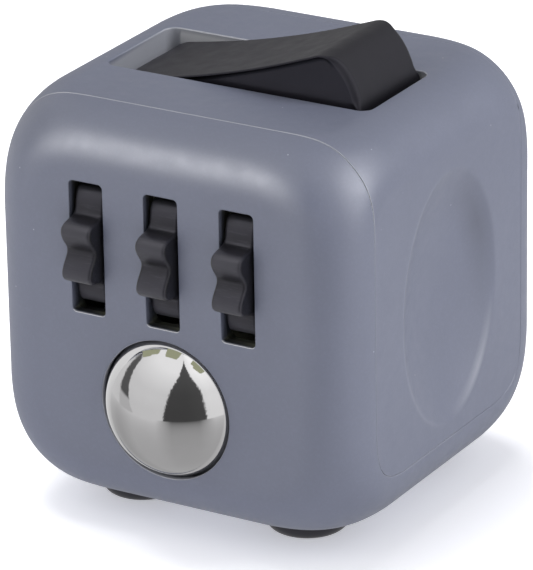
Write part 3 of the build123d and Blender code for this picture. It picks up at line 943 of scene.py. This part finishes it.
def build_thumb_pad(pivot):
    """Hollow, ridged disc with a ribbed rim; its underside follows the dome."""
    low, high = 17.9 - pivot[1], 19.9 - pivot[1]
    hollow, ridge_pitch, ridge_height = 0.60, 0.78, 0.07
    rim_r = 0.45
    rib_count, rib_depth = 40, 0.10
    seat_r = 7.41

    def shape(h, r, t):
        if 4.5 < r < 4.75 and low + 0.25 < h < high - 0.2:
            r -= rib_depth * max(0.0, math.cos(rib_count * t)) ** 2
        return h, r

    profile = [(high - hollow, 0.0)]
    for k in range(1, 33):
        r = 3.9 * k / 32
        wave = 0.5 + 0.5 * math.cos(2 * math.pi * r / ridge_pitch)
        ridge = ridge_height * wave * min(1.0, max(0.0, (3.6 - r) / 0.5))
        profile.append((high - hollow * (1 - (r / 3.95) ** 2) + ridge * 0.8 - 0.02, r))
    for degrees in range(100, -1, -10):
        a = math.radians(degrees)
        profile.append((high - rim_r + rim_r * math.sin(a), 4.15 + rim_r * math.cos(a)))
    profile += [(high - 0.7, 4.6), (low + 0.45, 4.6), (low + 0.2, 4.52),
                (low + 0.06, 4.35), (low, 4.1)]
    for r in np.linspace(3.75, 0.0, 16):
        profile.append((math.sqrt(seat_r ** 2 - r * r), r))
    ob = lathe("joystick_thumb_pad", profile, pivot, Y, 240, shape)
    register(ob, "joystick", "joystick_cap", "stick_rubber")


# -------------------------------------------------------- profiled pieces ----
HOLE_SEGMENTS = 32


def outline_normals(P):
    t = np.roll(P, -1, 0) - np.roll(P, 1, 0)
    n = np.stack([t[:, 1], -t[:, 0]], 1)
    return n / np.linalg.norm(n, axis=1, keepdims=True)


def slab(name, outline, place, half, fillet, fillet_steps, hole, wear, panel=()):
    """A counter-clockwise outline extruded to +-half, with rounded rims and a through hole.
    half and fillet may differ from point to point. place(a, b, height) -> point.
    panel: [(inset past the fillet, sink), ...] on both sides. hole: (x, y, radius).
    The painted-light function of (ring, i) gives a painted highlight above 0 and painted shade
    below 0; rings are counted from the flat sides towards the middle."""
    n = len(outline)
    normals = outline_normals(outline)
    fillet = np.broadcast_to(np.asarray(fillet, float), (n,))
    half = np.broadcast_to(np.asarray(half, float), (n,))
    curves = [(outline - normals * (fillet + inset)[:, None], half - sink)
              for inset, sink in reversed(panel)]
    for k in range(fillet_steps + 1):           # from the flat side out to the rim
        t = k / fillet_steps * math.pi / 2
        curves.append((outline - normals * (fillet * (1 - math.sin(t)))[:, None],
                       half - fillet * (1 - math.cos(t))))
    loops = curves + [(c, -z) for c, z in reversed(curves)]
    verts, rows, faces = [], [], []
    for curve, heights in loops:
        rows.append(list(range(len(verts), len(verts) + n)))
        verts += [place(p[0], p[1], z) for p, z in zip(curve, heights)]
    for a, b in zip(rows[:-1], rows[1:]):
        for i in range(n):
            j = (i + 1) % n
            faces.append((a[i], a[j], b[j], b[i]))

    hole_x, hole_y, hole_r = hole
    turns = [2 * math.pi * k / HOLE_SEGMENTS for k in range(HOLE_SEGMENTS)]
    hole_loop = [(hole_x + hole_r * math.cos(t), hole_y + hole_r * math.sin(t)) for t in turns]
    side_outline, side_heights = loops[0]
    triangles = list(triangulate(list(side_outline) + hole_loop,
                                 closed_edges(0, n) + closed_edges(n, HOLE_SEGMENTS),
                                 side_outline, [hole_loop], 1e-7))
    hole_rows = []
    for sign, row in ((1, rows[0]), (-1, rows[-1])):
        z = float(np.mean(side_heights)) * sign
        hole_rows.append(list(range(len(verts), len(verts) + HOLE_SEGMENTS)))
        verts += [place(x, y, z) for x, y in hole_loop]
        ids = row + hole_rows[-1]
        for tri in triangles:
            face = [ids[i] for i in tri]
            faces.append(tuple(face) if sign > 0 else tuple(reversed(face)))
    a, b = hole_rows
    for i in range(HOLE_SEGMENTS):
        j = (i + 1) % HOLE_SEGMENTS
        faces.append((a[j], a[i], b[i], b[j]))

    faces = facing_out(verts, faces, np.mean(np.array(verts), 0))
    ob = object_from(name, verts, faces, sharp_degrees=55.0)
    tone = [0.0] * len(verts)
    for k, row in enumerate(rows):
        for i, vert in enumerate(row):
            tone[vert] = wear(min(k, len(rows) - 1 - k), i)
    store_painted_light(ob, tone)
    return ob


def build_wheels():
    """Three wheels with eight soft lobes; a valley faces the front at rest."""
    steps, lobes = 288, 8
    mean_r, lobe_height = 4.6, 0.6
    half_width = 1.35
    points = []
    for i in range(steps):
        t = 2 * math.pi * i / steps
        r = mean_r + lobe_height * math.cos(lobes * t - math.pi)
        points.append((-r * math.cos(t), r * math.sin(t)))
    outline = np.array(points)[::-1]

    def wear(ring, i):
        """Painted shade on the flat sides and in the valleys, painted highlight on the lobe tips;
        weaker on the fillet.
        """
        if ring <= 1:
            return -0.85
        tone = 0.62 * max(-1.4, min(1.0, (np.hypot(*outline[i]) - 4.75) / 0.45))
        return tone * (0.55 if ring < 4 else 1.0)

    for side in ("left", "middle", "right"):
        at = joint_at(f"wheel_{side}_spin")
        ob = slab(f"thumb_wheel_{side}", outline,
                  lambda a, b, z: np.array((at[0] + z, at[1] + a, at[2] + b)),
                  half=half_width, fillet=0.30, fillet_steps=5, hole=(0, 0, 0.75), wear=wear)
        register(ob, f"wheel_{side}", f"wheel_{side}", "control_black")


def smooth_curve(points, count):
    """Smooth curve through points, evenly cut."""
    P = np.array(points, float)
    d = np.r_[0, np.cumsum(np.linalg.norm(np.diff(P, axis=0), axis=1))]
    m = np.zeros_like(P)
    for i in range(1, len(P) - 1):
        h0, h1 = d[i] - d[i - 1], d[i + 1] - d[i]
        m[i] = ((P[i] - P[i - 1]) / h0 * h1 + (P[i + 1] - P[i]) / h1 * h0) / (h0 + h1)
    m[0] = (P[1] - P[0]) / (d[1] - d[0])
    m[-1] = (P[-1] - P[-2]) / (d[-1] - d[-2])
    out = []
    for s in np.linspace(0, d[-1], count):
        i = min(np.searchsorted(d, s, side="right") - 1, len(P) - 2)
        h = d[i + 1] - d[i]
        t = (s - d[i]) / h
        out.append((2 * t ** 3 - 3 * t ** 2 + 1) * P[i] + (t ** 3 - 2 * t ** 2 + t) * h * m[i]
                   + (-2 * t ** 3 + 3 * t ** 2) * P[i + 1] + (t ** 3 - t ** 2) * h * m[i + 1])
    return out


def smoothstep(x, start, end):
    t = np.clip((x - start) / (end - start), 0, 1)
    return t * t * (3 - 2 * t)


# right half of the rocker's upper outline, from its middle: (x, z) from the pivot
ROCKER_CROWN = [(0.0, 5.10), (2.4, 5.13), (4.5, 5.22), (6.4, 5.35), (8.2, 5.50), (9.45, 5.56),
                (10.40, 5.25), (11.15, 4.35), (11.60, 3.20), (11.80, 2.00), (11.80, 0.60)]
# its lower left corner, from the end inwards
ROCKER_FOOT = [(-11.72, 0.0), (-11.5, -0.5), (-11.15, -0.78)]
ROCKER_TILT = math.radians(15.0)


def build_rocker():
    pivot = joint_at("rocker_tilt")
    crown = [(-x, z) for x, z in reversed(ROCKER_CROWN[1:])] + ROCKER_CROWN
    outline = smooth_curve(crown, 150)[::-1] + ROCKER_FOOT
    outline += [(x, -0.8) for x in np.linspace(-10.6, 10.6, 22)]
    outline += [(-x, z) for x, z in reversed(ROCKER_FOOT)]
    outline = np.array(outline)
    # the long top edge is crisp over a sunk side; the two ends are well rounded
    end = smoothstep(np.abs(outline[:, 0]), 9.6, 11.2) * smoothstep(outline[:, 1], 0.5, 1.7)
    top = 1 - end

    def place(a, b, z):
        x = a * math.cos(ROCKER_TILT) - b * math.sin(ROCKER_TILT)
        h = a * math.sin(ROCKER_TILT) + b * math.cos(ROCKER_TILT)
        return np.array((pivot[0] + x, pivot[1] - z, pivot[2] + h))

    def wear(ring, i):
        """Painted shadow in the step under the top edge, painted highlight round the two ends."""
        if outline[i][1] <= 0.5:
            return 0.0
        if ring in (1, 2):
            return -0.95 * top[i]
        return 0.30 * end[i] if ring > 3 else 0.0

    panel = [(0.015 + 0.05 * end, 0.0), (0.05 + 0.10 * end, 0.12 * top),
             (0.24 + 0.15 * end, 0.24 * top), (0.42 + 0.20 * end, 0.26 * top)]
    ob = slab("rocker_key", outline, place, half=4.85 - 0.22 * end, fillet=0.12 + 0.46 * end,
              fillet_steps=7, hole=(0, 1.3, 0.85), wear=wear, panel=panel)
    register(ob, "rocker", "rocker", "control_black")


build_casing()
build_ball()
build_buttons()
build_dial()
stick_pivot = joint_at("joystick_up")
build_joystick_dome(stick_pivot)
build_thumb_pad(stick_pivot)
build_wheels()
build_rocker()


# ------------------------------------------------------------ shader tools ----
def scaled(colour, factor, lift=0.0):
    return tuple(min(1.0, c * factor + lift) for c in colour)


class Graph:
    """Short ways to add nodes; an input may be a value or another node's output."""

    def __init__(self, tree):
        self.tree = tree
        tree.nodes.clear()

    def link(self, output, socket):
        self.tree.links.new(output, socket)

    def node(self, kind, inputs=None, **settings):
        new = self.tree.nodes.new("ShaderNode" + kind)
        for key, value in settings.items():
            setattr(new, key, value)
        for key, value in (inputs or {}).items():
            if isinstance(value, bpy.types.NodeSocket):
                self.link(value, new.inputs[key])
            else:
                new.inputs[key].default_value = value
        return new

    def math(self, operation, *values):
        return self.node("Math", dict(enumerate(values)), operation=operation).outputs[0]

    def add(self, a, b):
        return self.math("ADD", a, b)

    def sub(self, a, b):
        return self.math("SUBTRACT", a, b)

    def mul(self, a, b):
        return self.math("MULTIPLY", a, b)

    def ramp(self, distance, width):
        """0 up to distance 0, rising to 1 at the width."""
        share = self.math("DIVIDE", distance, width)
        return self.math("MINIMUM", 1.0, self.math("MAXIMUM", 0.0, share))

    def azimuth(self, x, y):
        """Degrees from the front (-Y), positive to the right (+X)."""
        return self.mul(self.math("ARCTAN2", x, self.mul(y, -1.0)), 180 / math.pi)

    def map_range(self, value, to, within=(0.3, 0.7)):
        return self.node("MapRange", {"From Min": within[0], "From Max": within[1],
                                      "To Min": to[0], "To Max": to[1],
                                      "Value": value}).outputs["Result"]

    def xyz(self, vector):
        return self.node("SeparateXYZ", {0: vector}).outputs

    def mix_shader(self, factor, a, b):
        return self.node("MixShader", {0: factor, 1: a, 2: b}).outputs[0]


class Material(Graph):
    """A procedural material; texture sizes are in millimetres on the object."""

    def __init__(self, name):
        self.material = bpy.data.materials.new(name)
        self.material.use_nodes = True
        super().__init__(self.material.node_tree)
        self.output = self.node("OutputMaterial")
        self.surface = self.node("BsdfPrincipled")
        self.link(self.surface.outputs[0], self.output.inputs[0])
        self.place = self.node("TexCoord").outputs["Object"]

    def set(self, **inputs):
        """Sets or links surface inputs; an underscore stands for a space."""
        for key, value in inputs.items():
            socket = self.surface.inputs[key.replace("_", " ")]
            if isinstance(value, bpy.types.NodeSocket):
                self.link(value, socket)
            else:
                socket.default_value = value

    def noise(self, size_mm, detail=3.0, roughness=0.55, stretch=None):
        place = self.place
        if stretch:
            mapping = self.node("Mapping", {"Scale": stretch, "Vector": place})
            place = mapping.outputs["Vector"]
        return self.node("TexNoise", {"Scale": 1000.0 / size_mm, "Detail": detail,
                                      "Roughness": roughness, "Vector": place}).outputs["Fac"]

    def mix(self, factor, a, b):
        def colour(value):
            return (*value, 1.0) if isinstance(value, tuple) else value
        # sockets 6, 7 and output 2 are the colour ones
        return self.node("Mix", {"Factor": factor, 6: colour(a), 7: colour(b)},
                         data_type="RGBA").outputs[2]

    def bump(self, *layers):
        """layers: (height output, depth in micrometres)"""
        inputs = {}
        for height, depth_um in layers:
            inputs.update({"Strength": 1.0, "Distance": depth_um * 1e-6, "Height": height})
            inputs["Normal"] = self.node("Bump", inputs).outputs["Normal"]
        self.set(Normal=inputs["Normal"])

    # the per-point painted light: painted highlight above 0, painted shade below 0
    def wear(self):
        return self.node("Attribute", attribute_name="wear").outputs["Fac"]

    def in_mirror(self, shader, mirrored):
        """What a mirror sees in place of the lit surface, where mirrored is 1."""
        mixed = self.mix_shader(mirrored, self.surface.outputs[0], shader)
        self.link(mixed, self.output.inputs[0])


# -------------------------------------------------------------- materials ----
# black of the painted shade
PAINTED_SHADE_BLACK = (0.004, 0.004, 0.005)


def moulded(name, colour, roughness, grain_mm, relief_um, variation,
            specular=0.5, speck=None, worn=None, marks_stretch=None):
    """Moulded plastic: faint patches and fine grain. speck: colour of sparse dots.
    The colour after speck is the pale one of painted highlights; painted shade darkens towards
    black. marks_stretch: stretches fine marks, striations in relief that are paled as painted
    highlights."""
    m = Material(name)
    patches = m.noise(9.0, detail=3)
    grain = m.noise(grain_mm, detail=2, roughness=0.6)
    c = m.mix(m.map_range(patches, to=(0, 1), within=(0.35, 0.65)),
              scaled(colour, 1 - variation), scaled(colour, 1 + variation))
    c = m.mix(m.map_range(grain, to=(0.0, 0.10), within=(0.45, 0.75)), c,
              scaled(colour, 1.5, lift=0.004))
    if speck:
        dots = m.node("TexVoronoi", {"Scale": 1000.0 / 2.6, "Randomness": 1.0,
                                     "Vector": m.place})
        dots = m.map_range(dots.outputs["Distance"], to=(0.8, 0.0), within=(0.012, 0.03))
        c = m.mix(dots, c, speck)
    # painted highlight towards the pale colour where the painted light is above 0, painted shade
    # towards black where it is below 0
    if worn:
        c = m.mix(m.map_range(m.wear(), to=(0.0, 1.0), within=(0.0, 1.0)), c, worn)
        c = m.mix(m.map_range(m.wear(), to=(0.93, 0.0), within=(-1.0, 0.0)), c, PAINTED_SHADE_BLACK)
    layers = [(m.noise(3.2, detail=2), relief_um * 2.2), (grain, relief_um)]
    if marks_stretch:
        # fine striations: real relief, with pale painted highlights along them
        marks = m.noise(0.16, detail=2, roughness=0.7, stretch=marks_stretch)
        c = m.mix(m.map_range(marks, to=(0.0, 0.6), within=(0.55, 0.8)), c,
                  scaled(colour, 2.2, lift=0.01))
        layers.append((marks, relief_um * 2.5))
    gloss = m.map_range(m.noise(1.6, detail=4, roughness=0.6),
                        to=(roughness - 0.05, roughness + 0.05))
    m.set(Base_Color=c, Roughness=gloss, Specular_IOR_Level=specular)
    m.bump(*layers)
    return m


def metal(name, colour, roughness, relief_um, brush=None):
    """Metal with brushed lines along a stretch, or with faint smears."""
    m = Material(name)
    c = m.mix(m.map_range(m.noise(4.0, detail=3), to=(0, 1)), scaled(colour, 0.95), colour)
    if brush:
        relief = m.noise(0.5, detail=3, roughness=0.7, stretch=brush)
        gloss = m.map_range(relief, to=(roughness * 0.7, roughness * 1.4))
    else:
        relief = m.noise(7.0, detail=1)
        gloss = m.map_range(m.noise(2.2, detail=5, roughness=0.6),
                            to=(roughness, roughness * 1.6), within=(0.4, 0.75))
    m.set(Metallic=1.0, Base_Color=c, Roughness=gloss)
    m.bump((relief, relief_um))
    return m


MATERIALS = {
    "casing": moulded("abs_blue_grey", (0.137, 0.149, 0.203), roughness=0.45, grain_mm=0.26,
                      relief_um=1.5, variation=0.02, speck=(0.42, 0.44, 0.50),
                      worn=(0.52, 0.53, 0.56)),
    "control_black": moulded("abs_black_satin", (0.0145, 0.0138, 0.0192), roughness=0.42,
                             grain_mm=0.22, relief_um=3.0, variation=0.10, specular=0.27,
                             worn=(0.07, 0.07, 0.08)),
    "wheel_black": moulded("abs_black_wheel", (0.0200, 0.0195, 0.0250), roughness=0.40,
                           grain_mm=0.22, relief_um=3.0, variation=0.10,
                           worn=(0.046, 0.046, 0.052), marks_stretch=(0.10, 1.0, 1.0)),
    "button_black": moulded("abs_black_button", (0.018, 0.018, 0.022), roughness=0.40,
                            grain_mm=0.22, relief_um=2.5, variation=0.10),
    "stick_rubber": moulded("rubber_black", (0.019, 0.019, 0.020), roughness=0.62,
                            grain_mm=0.20, relief_um=5.0, variation=0.12, specular=0.35),
    "ball_steel": metal("steel_mirror", (0.555, 0.55, 0.556), roughness=0.050, relief_um=0.10),
    "inner_plastic": moulded("abs_inner_grey", (0.055, 0.058, 0.068), roughness=0.5,
                             grain_mm=0.35, relief_um=4.0, variation=0.08),
    "white_acetal": moulded("acetal_white", (0.74, 0.73, 0.68), roughness=0.32,
                            grain_mm=0.5, relief_um=2.0, variation=0.04),
    "steel": metal("steel_drawn", (0.56, 0.56, 0.58), roughness=0.26, relief_um=1.2,
                   brush=(1.0, 1.0, 9.0)),
    "zinc_screw": metal("zinc_plate", (0.55, 0.56, 0.60), roughness=0.30, relief_um=1.0,
                        brush=(9.0, 1.0, 1.0)),
    "silicone": moulded("silicone_grey", (0.30, 0.31, 0.33), roughness=0.55,
                        grain_mm=0.6, relief_um=3.0, variation=0.06, specular=0.35),
}
for key in ("control_black", "wheel_black", "button_black"):
    MATERIALS[key].set(Specular_Tint=(0.96, 0.94, 1.08, 1.0))
MATERIALS["silicone"].set(Subsurface_Weight=0.15, Subsurface_Scale=0.001)


def far_mirror_ray(m, beyond):
    """1 for mirror rays longer than beyond (metres)."""
    path = m.node("LightPath")
    return m.mul(path.outputs["Is Glossy Ray"],
                 m.math("GREATER_THAN", path.outputs["Ray Length"], beyond))


def paint_wheel_reflections():
    """Painted reflection: the wheels glow pale olive for the ball's mirror rays, so the ball shows
    their undersides as pale spots.
    """
    m = MATERIALS["wheel_black"]
    glow = m.node("Emission", {"Color": (0.52, 0.54, 0.36, 1.0)})
    m.in_mirror(glow.outputs[0], far_mirror_ray(m, beyond=0.0031))


def paint_casing_reflection():
    """Painted reflection: the casing low on the front glows white for the ball's mirror rays,
    brighter upwards, so the ball shows the rim of its opening as a light edge.
    """
    m = MATERIALS["casing"]
    mirrored = far_mirror_ray(m, beyond=0.0002)
    place = m.xyz(m.node("NewGeometry").outputs["Position"])
    for axis, limit in (("Z", 0.0184), ("Y", -0.01643)):
        mirrored = m.mul(mirrored, m.math("LESS_THAN", place[axis], limit))
    strength = m.map_range(place["Z"], to=(0.62, 1.15), within=(0.0060, 0.0175))
    glow = m.node("Emission", {"Color": (1.0, 1.0, 1.0, 1.0), "Strength": strength})
    m.in_mirror(glow.outputs[0], mirrored)


def paint(ob, m):
    ob.data.materials.clear()
    ob.data.materials.append(m.material)


paint_wheel_reflections()
paint_casing_reflection()
slot_of_node = {s["node"]: s["material_slot"] for s in frame["record"]["subparts"]}
for node_name, node_ob in frame["nodes"].items():
    for material_slot in node_ob.material_slots:
        material_slot.material = MATERIALS[slot_of_node[node_name]].material
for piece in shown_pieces():
    if "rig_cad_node" not in piece and "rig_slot" in piece:
        is_wheel = piece.name.startswith("thumb_wheel")
        paint(piece, MATERIALS["wheel_black" if is_wheel else piece["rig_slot"]])

# ------------------------------------------------------------------ table ----
FLOOR_HALF = 2.5
FLOOR_GAP = 0.00002
FLOOR_GLOW = 0.44


def painted_table_reflection(m):
    """Painted reflection: strength of the glow that stands in for the table in the ball, fading up
    outwards, with two darker sectors.
    """
    position = m.node("NewGeometry").outputs["Position"]
    distance = m.node("VectorMath", {0: position}, operation="LENGTH").outputs["Value"]
    base = m.map_range(distance, to=(0.58, 0.91), within=(0.018, 0.070))
    place = m.xyz(position)
    azimuth = m.azimuth(place["X"], m.add(place["Y"], 0.0136))
    # right of the front, from -8 to 74 degrees, with soft edges; deeper farther out
    right = m.mul(m.ramp(m.add(azimuth, 8.0), width=22.0),
                  m.ramp(m.sub(74.0, azimuth), width=22.0))
    trail = m.map_range(distance, to=(0.0, 0.86), within=(0.016, 0.075))
    # left of the front, from -100 to -44 degrees, faint
    left = m.mul(m.ramp(m.add(azimuth, 100.0), width=24.0),
                 m.ramp(m.sub(-44.0, azimuth), width=24.0))
    left_strength = 0.16
    dark = m.add(m.mul(right, trail), m.mul(left, left_strength))
    return distance, m.mul(base, m.sub(1.0, dark))


def table_material():
    """White table; for the polished ball a painted reflection stands in for it, a glowing grey that
    ends at a set distance.
    """
    m = Material("table_white")
    colour = m.mix(m.map_range(m.noise(40.0, detail=2), to=(0, 1)),
                   (0.89, 0.89, 0.90), (0.91, 0.91, 0.92))
    m.set(Roughness=0.6, Specular_IOR_Level=0.2, Base_Color=colour,
          Emission_Color=(0.91, 0.92, 0.99, 1.0), Emission_Strength=FLOOR_GLOW)
    distance, strength = painted_table_reflection(m)
    mirror_end = 0.075
    seen = m.mix_shader(m.math("GREATER_THAN", distance, mirror_end),
                        m.node("Emission", {"Strength": strength}).outputs[0],
                        m.node("BsdfTransparent").outputs[0])
    # the ball's mirror rays see this painted reflection in place of the table
    m.in_mirror(seen, m.node("LightPath").outputs["Is Glossy Ray"])
    return m


def build_floor():
    mesh = bpy.data.meshes.new("floor")
    e = FLOOR_HALF
    mesh.from_pydata([(-e, -e, 0), (e, -e, 0), (e, e, 0), (-e, e, 0)], [], [(0, 1, 2, 3)])
    ob = bpy.data.objects.new("floor", mesh)
    bpy.context.scene.collection.objects.link(ob)
    ob.location.z = cad_bounds[0][2] - FLOOR_GAP
    ob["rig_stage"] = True
    paint(ob, table_material())
    return ob


floor = build_floor()

# ----------------------------------------------------------------- studio ----
SKY = 1.05              # strength of the surroundings
BACK_LEVEL = 0.40       # share of it behind the cube
ZENITH_DIM = 0.5        # how much darker it is overhead, except in mirrors
WEDGE_DIM = 0.91        # the dark gap right of the front
STRIP_DIM = 0.85        # the dark strip on the left
STRIP_LOW_DIM = 0.22    # its part below the horizon


def studio_strength(g):
    """Brightness by azimuth from the front and elevation, both in degrees."""
    direction = g.node("TexCoord").outputs["Generated"]
    d = g.xyz(direction)
    azimuth = g.azimuth(d["X"], d["Y"])
    elevation = g.mul(g.math("ARCSINE", d["Z"]), 180 / math.pi)

    def band(x, start, end, soft):
        """1 between start and end, with edges soft wide."""
        def rise(distance):
            share = g.math("MAXIMUM", 0.0, g.math("DIVIDE", distance, soft))
            return g.math("SMOOTH_MIN", 1.0, share, 0.0)
        return g.mul(rise(g.sub(x, start - soft / 2)), rise(g.sub(end + soft / 2, x)))

    def dim(level, mask, amount):
        return g.mul(level, g.sub(1.0, g.mul(mask, amount)))

    ragged = g.node("TexNoise", {"Scale": 26.0, "Detail": 3.0, "Vector": direction})
    wobble = g.mul(g.sub(ragged.outputs["Fac"], 0.5), 9.0)      # degrees

    # a dark wedge from -1 to 65 degrees that narrows as it rises and ends at 84 up
    upper = g.ramp(g.sub(elevation, 32.0), width=50.0)
    lower = g.ramp(g.sub(elevation, -12.0), width=44.0)
    x = g.add(azimuth, wobble)
    left = g.add(-1.0, g.add(g.mul(lower, 8.6), g.mul(upper, 26.0)))
    right = g.sub(65.0, g.add(g.mul(lower, 4.0), g.mul(upper, 26.5)))
    wedge = g.mul(g.ramp(g.sub(x, left), width=2.0), g.ramp(g.sub(right, x), width=2.0))
    wedge = g.mul(wedge, g.ramp(g.sub(84.0, elevation), width=4.0))

    # a dark strip from -82 to -55 degrees that leans to the left as it rises
    x = g.add(azimuth, g.mul(wobble, 0.9))
    left = g.sub(-82.0, g.mul(elevation, 0.42))
    right = g.sub(-55.0, g.mul(elevation, 0.70))
    strip = g.mul(g.ramp(g.sub(x, left), width=4.0), g.ramp(g.sub(right, x), width=2.0))
    strip_low = g.mul(strip, g.sub(1.0, g.ramp(g.add(elevation, 1.0), width=3.0)))
    strip = g.mul(strip, band(elevation, start=1, end=38, soft=3))

    mirror = g.node("LightPath").outputs["Is Glossy Ray"]
    front = band(azimuth, start=-128, end=118, soft=24)
    level = g.add(BACK_LEVEL, g.mul(front, 1.0 - BACK_LEVEL))
    level = dim(level, wedge, WEDGE_DIM)
    level = dim(level, strip, STRIP_DIM)
    level = dim(level, strip_low, STRIP_LOW_DIM)
    overhead = g.mul(band(elevation, start=70, end=100, soft=20), ZENITH_DIM)
    level = dim(level, overhead, g.sub(1.0, mirror))

    # mirrors see it brighter high up and to the right, a little darker low down
    high = g.mul(g.ramp(g.sub(elevation, 25.0), width=35.0), 0.35)
    low = g.mul(g.ramp(g.sub(16.0, elevation), width=16.0), -0.06)
    rightward = g.sub(g.mul(g.ramp(g.sub(azimuth, 35.0), width=35.0), 0.24), 0.08)
    extra = g.add(g.add(high, low), rightward)
    level = g.mul(level, g.add(1.0, g.mul(extra, mirror)))
    return g.mul(level, SKY)


def build_world():
    world = bpy.data.worlds.new("studio")
    bpy.context.scene.world = world
    world.use_nodes = True
    g = Graph(world.node_tree)
    background = g.node("Background", {"Color": (1.0, 1.0, 1.0, 1.0),
                                       "Strength": studio_strength(g)})
    g.node("OutputWorld", {0: background.outputs[0]})


build_world()


# ----------------------------------------------------------------- lights ----
def around(azimuth, elevation, distance=0.5):
    """A place about the middle of the scene, by degrees from the front and degrees up."""
    a, e = math.radians(azimuth), math.radians(elevation)
    c = math.cos(e)
    return Vector((math.sin(a) * c, -math.cos(a) * c, math.sin(e))) * distance


def area_light(name, at, target, size, power, lights, size_y=None, glossy=False, diffuse=True):
    """A soft box that lights only the pieces whose names start as given in lights."""
    data = bpy.data.lights.new(name, "AREA")
    data.energy = power
    data.size = size
    if size_y:
        data.shape = "RECTANGLE"
        data.size_y = size_y
    ob = bpy.data.objects.new(name, data)
    bpy.context.scene.collection.objects.link(ob)
    ob.location = at
    ob.rotation_euler = (Vector(target) - Vector(at)).to_track_quat("-Z", "Y").to_euler()
    ob.visible_glossy = glossy
    ob.visible_diffuse = diffuse
    receivers = bpy.data.collections.new(name + "_receivers")
    for piece in list(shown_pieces()) + [floor]:
        if piece.name.startswith(lights):
            receivers.objects.link(piece)
    ob.light_linking.receiver_collection = receivers


CUBE_AT = (0, 0, 0.018)
# low, to the left of the front: the long sheen along the front top edge
area_light("edge_sheen", around(-31, 30), CUBE_AT, size=0.34, size_y=0.26, power=3.1,
           lights=("casing",), glossy=True, diffuse=False)
area_light("right_soft", around(99, 33), CUBE_AT, size=0.30, size_y=0.34, power=2.5,
           lights=("casing",), glossy=True, diffuse=False)
area_light("right_wash", around(109, 48), CUBE_AT, size=0.16, power=1.35,
           lights=("casing", "spin_dial"))
area_light("table_wash", (-0.13, 0.07, 0.58), (0, 0, 0), size=0.34, power=2.6,
           lights=("floor",))
area_light("wheel_glint", around(-30, 62, distance=0.4), (0, -0.016, 0.024),
           size=0.10, size_y=0.05, power=0.07, lights=("thumb_wheel",), glossy=True)

# ----------------------------------------------------------------- camera ----
SENSOR_WIDTH, FOCAL_LENGTH = 36.0, 314.279558
CAMERA_AT = (190.49550132, -319.88158475, 149.22059827)     # millimetres from the middle
CAMERA_RIGHT = (0.8620605437541897, 0.5065326565264625, -0.016621876382511863)
CAMERA_DOWN = (0.1774867982882251, -0.33245765567868074, -0.9262668857375991)
CAMERA_FORWARD = (-0.4747104963402702, 0.79554797155978, -0.37650148686491774)


def build_camera():
    data = bpy.data.cameras.new("camera")
    ob = bpy.data.objects.new("camera", data)
    bpy.context.scene.collection.objects.link(ob)
    data.sensor_width = SENSOR_WIDTH
    data.lens = FOCAL_LENGTH
    data.clip_start = 0.01
    data.clip_end = 20.0
    pose = Matrix.Identity(4)
    for i in range(3):
        pose[i] = (CAMERA_RIGHT[i], -CAMERA_DOWN[i], -CAMERA_FORWARD[i],
                   CAMERA_AT[i] * MM + MIDDLE[i])
    ob.matrix_world = pose
    bpy.context.scene.camera = ob


build_camera()
bpy.context.scene.view_settings.view_transform = "Standard"

bpy.context.view_layer.update()
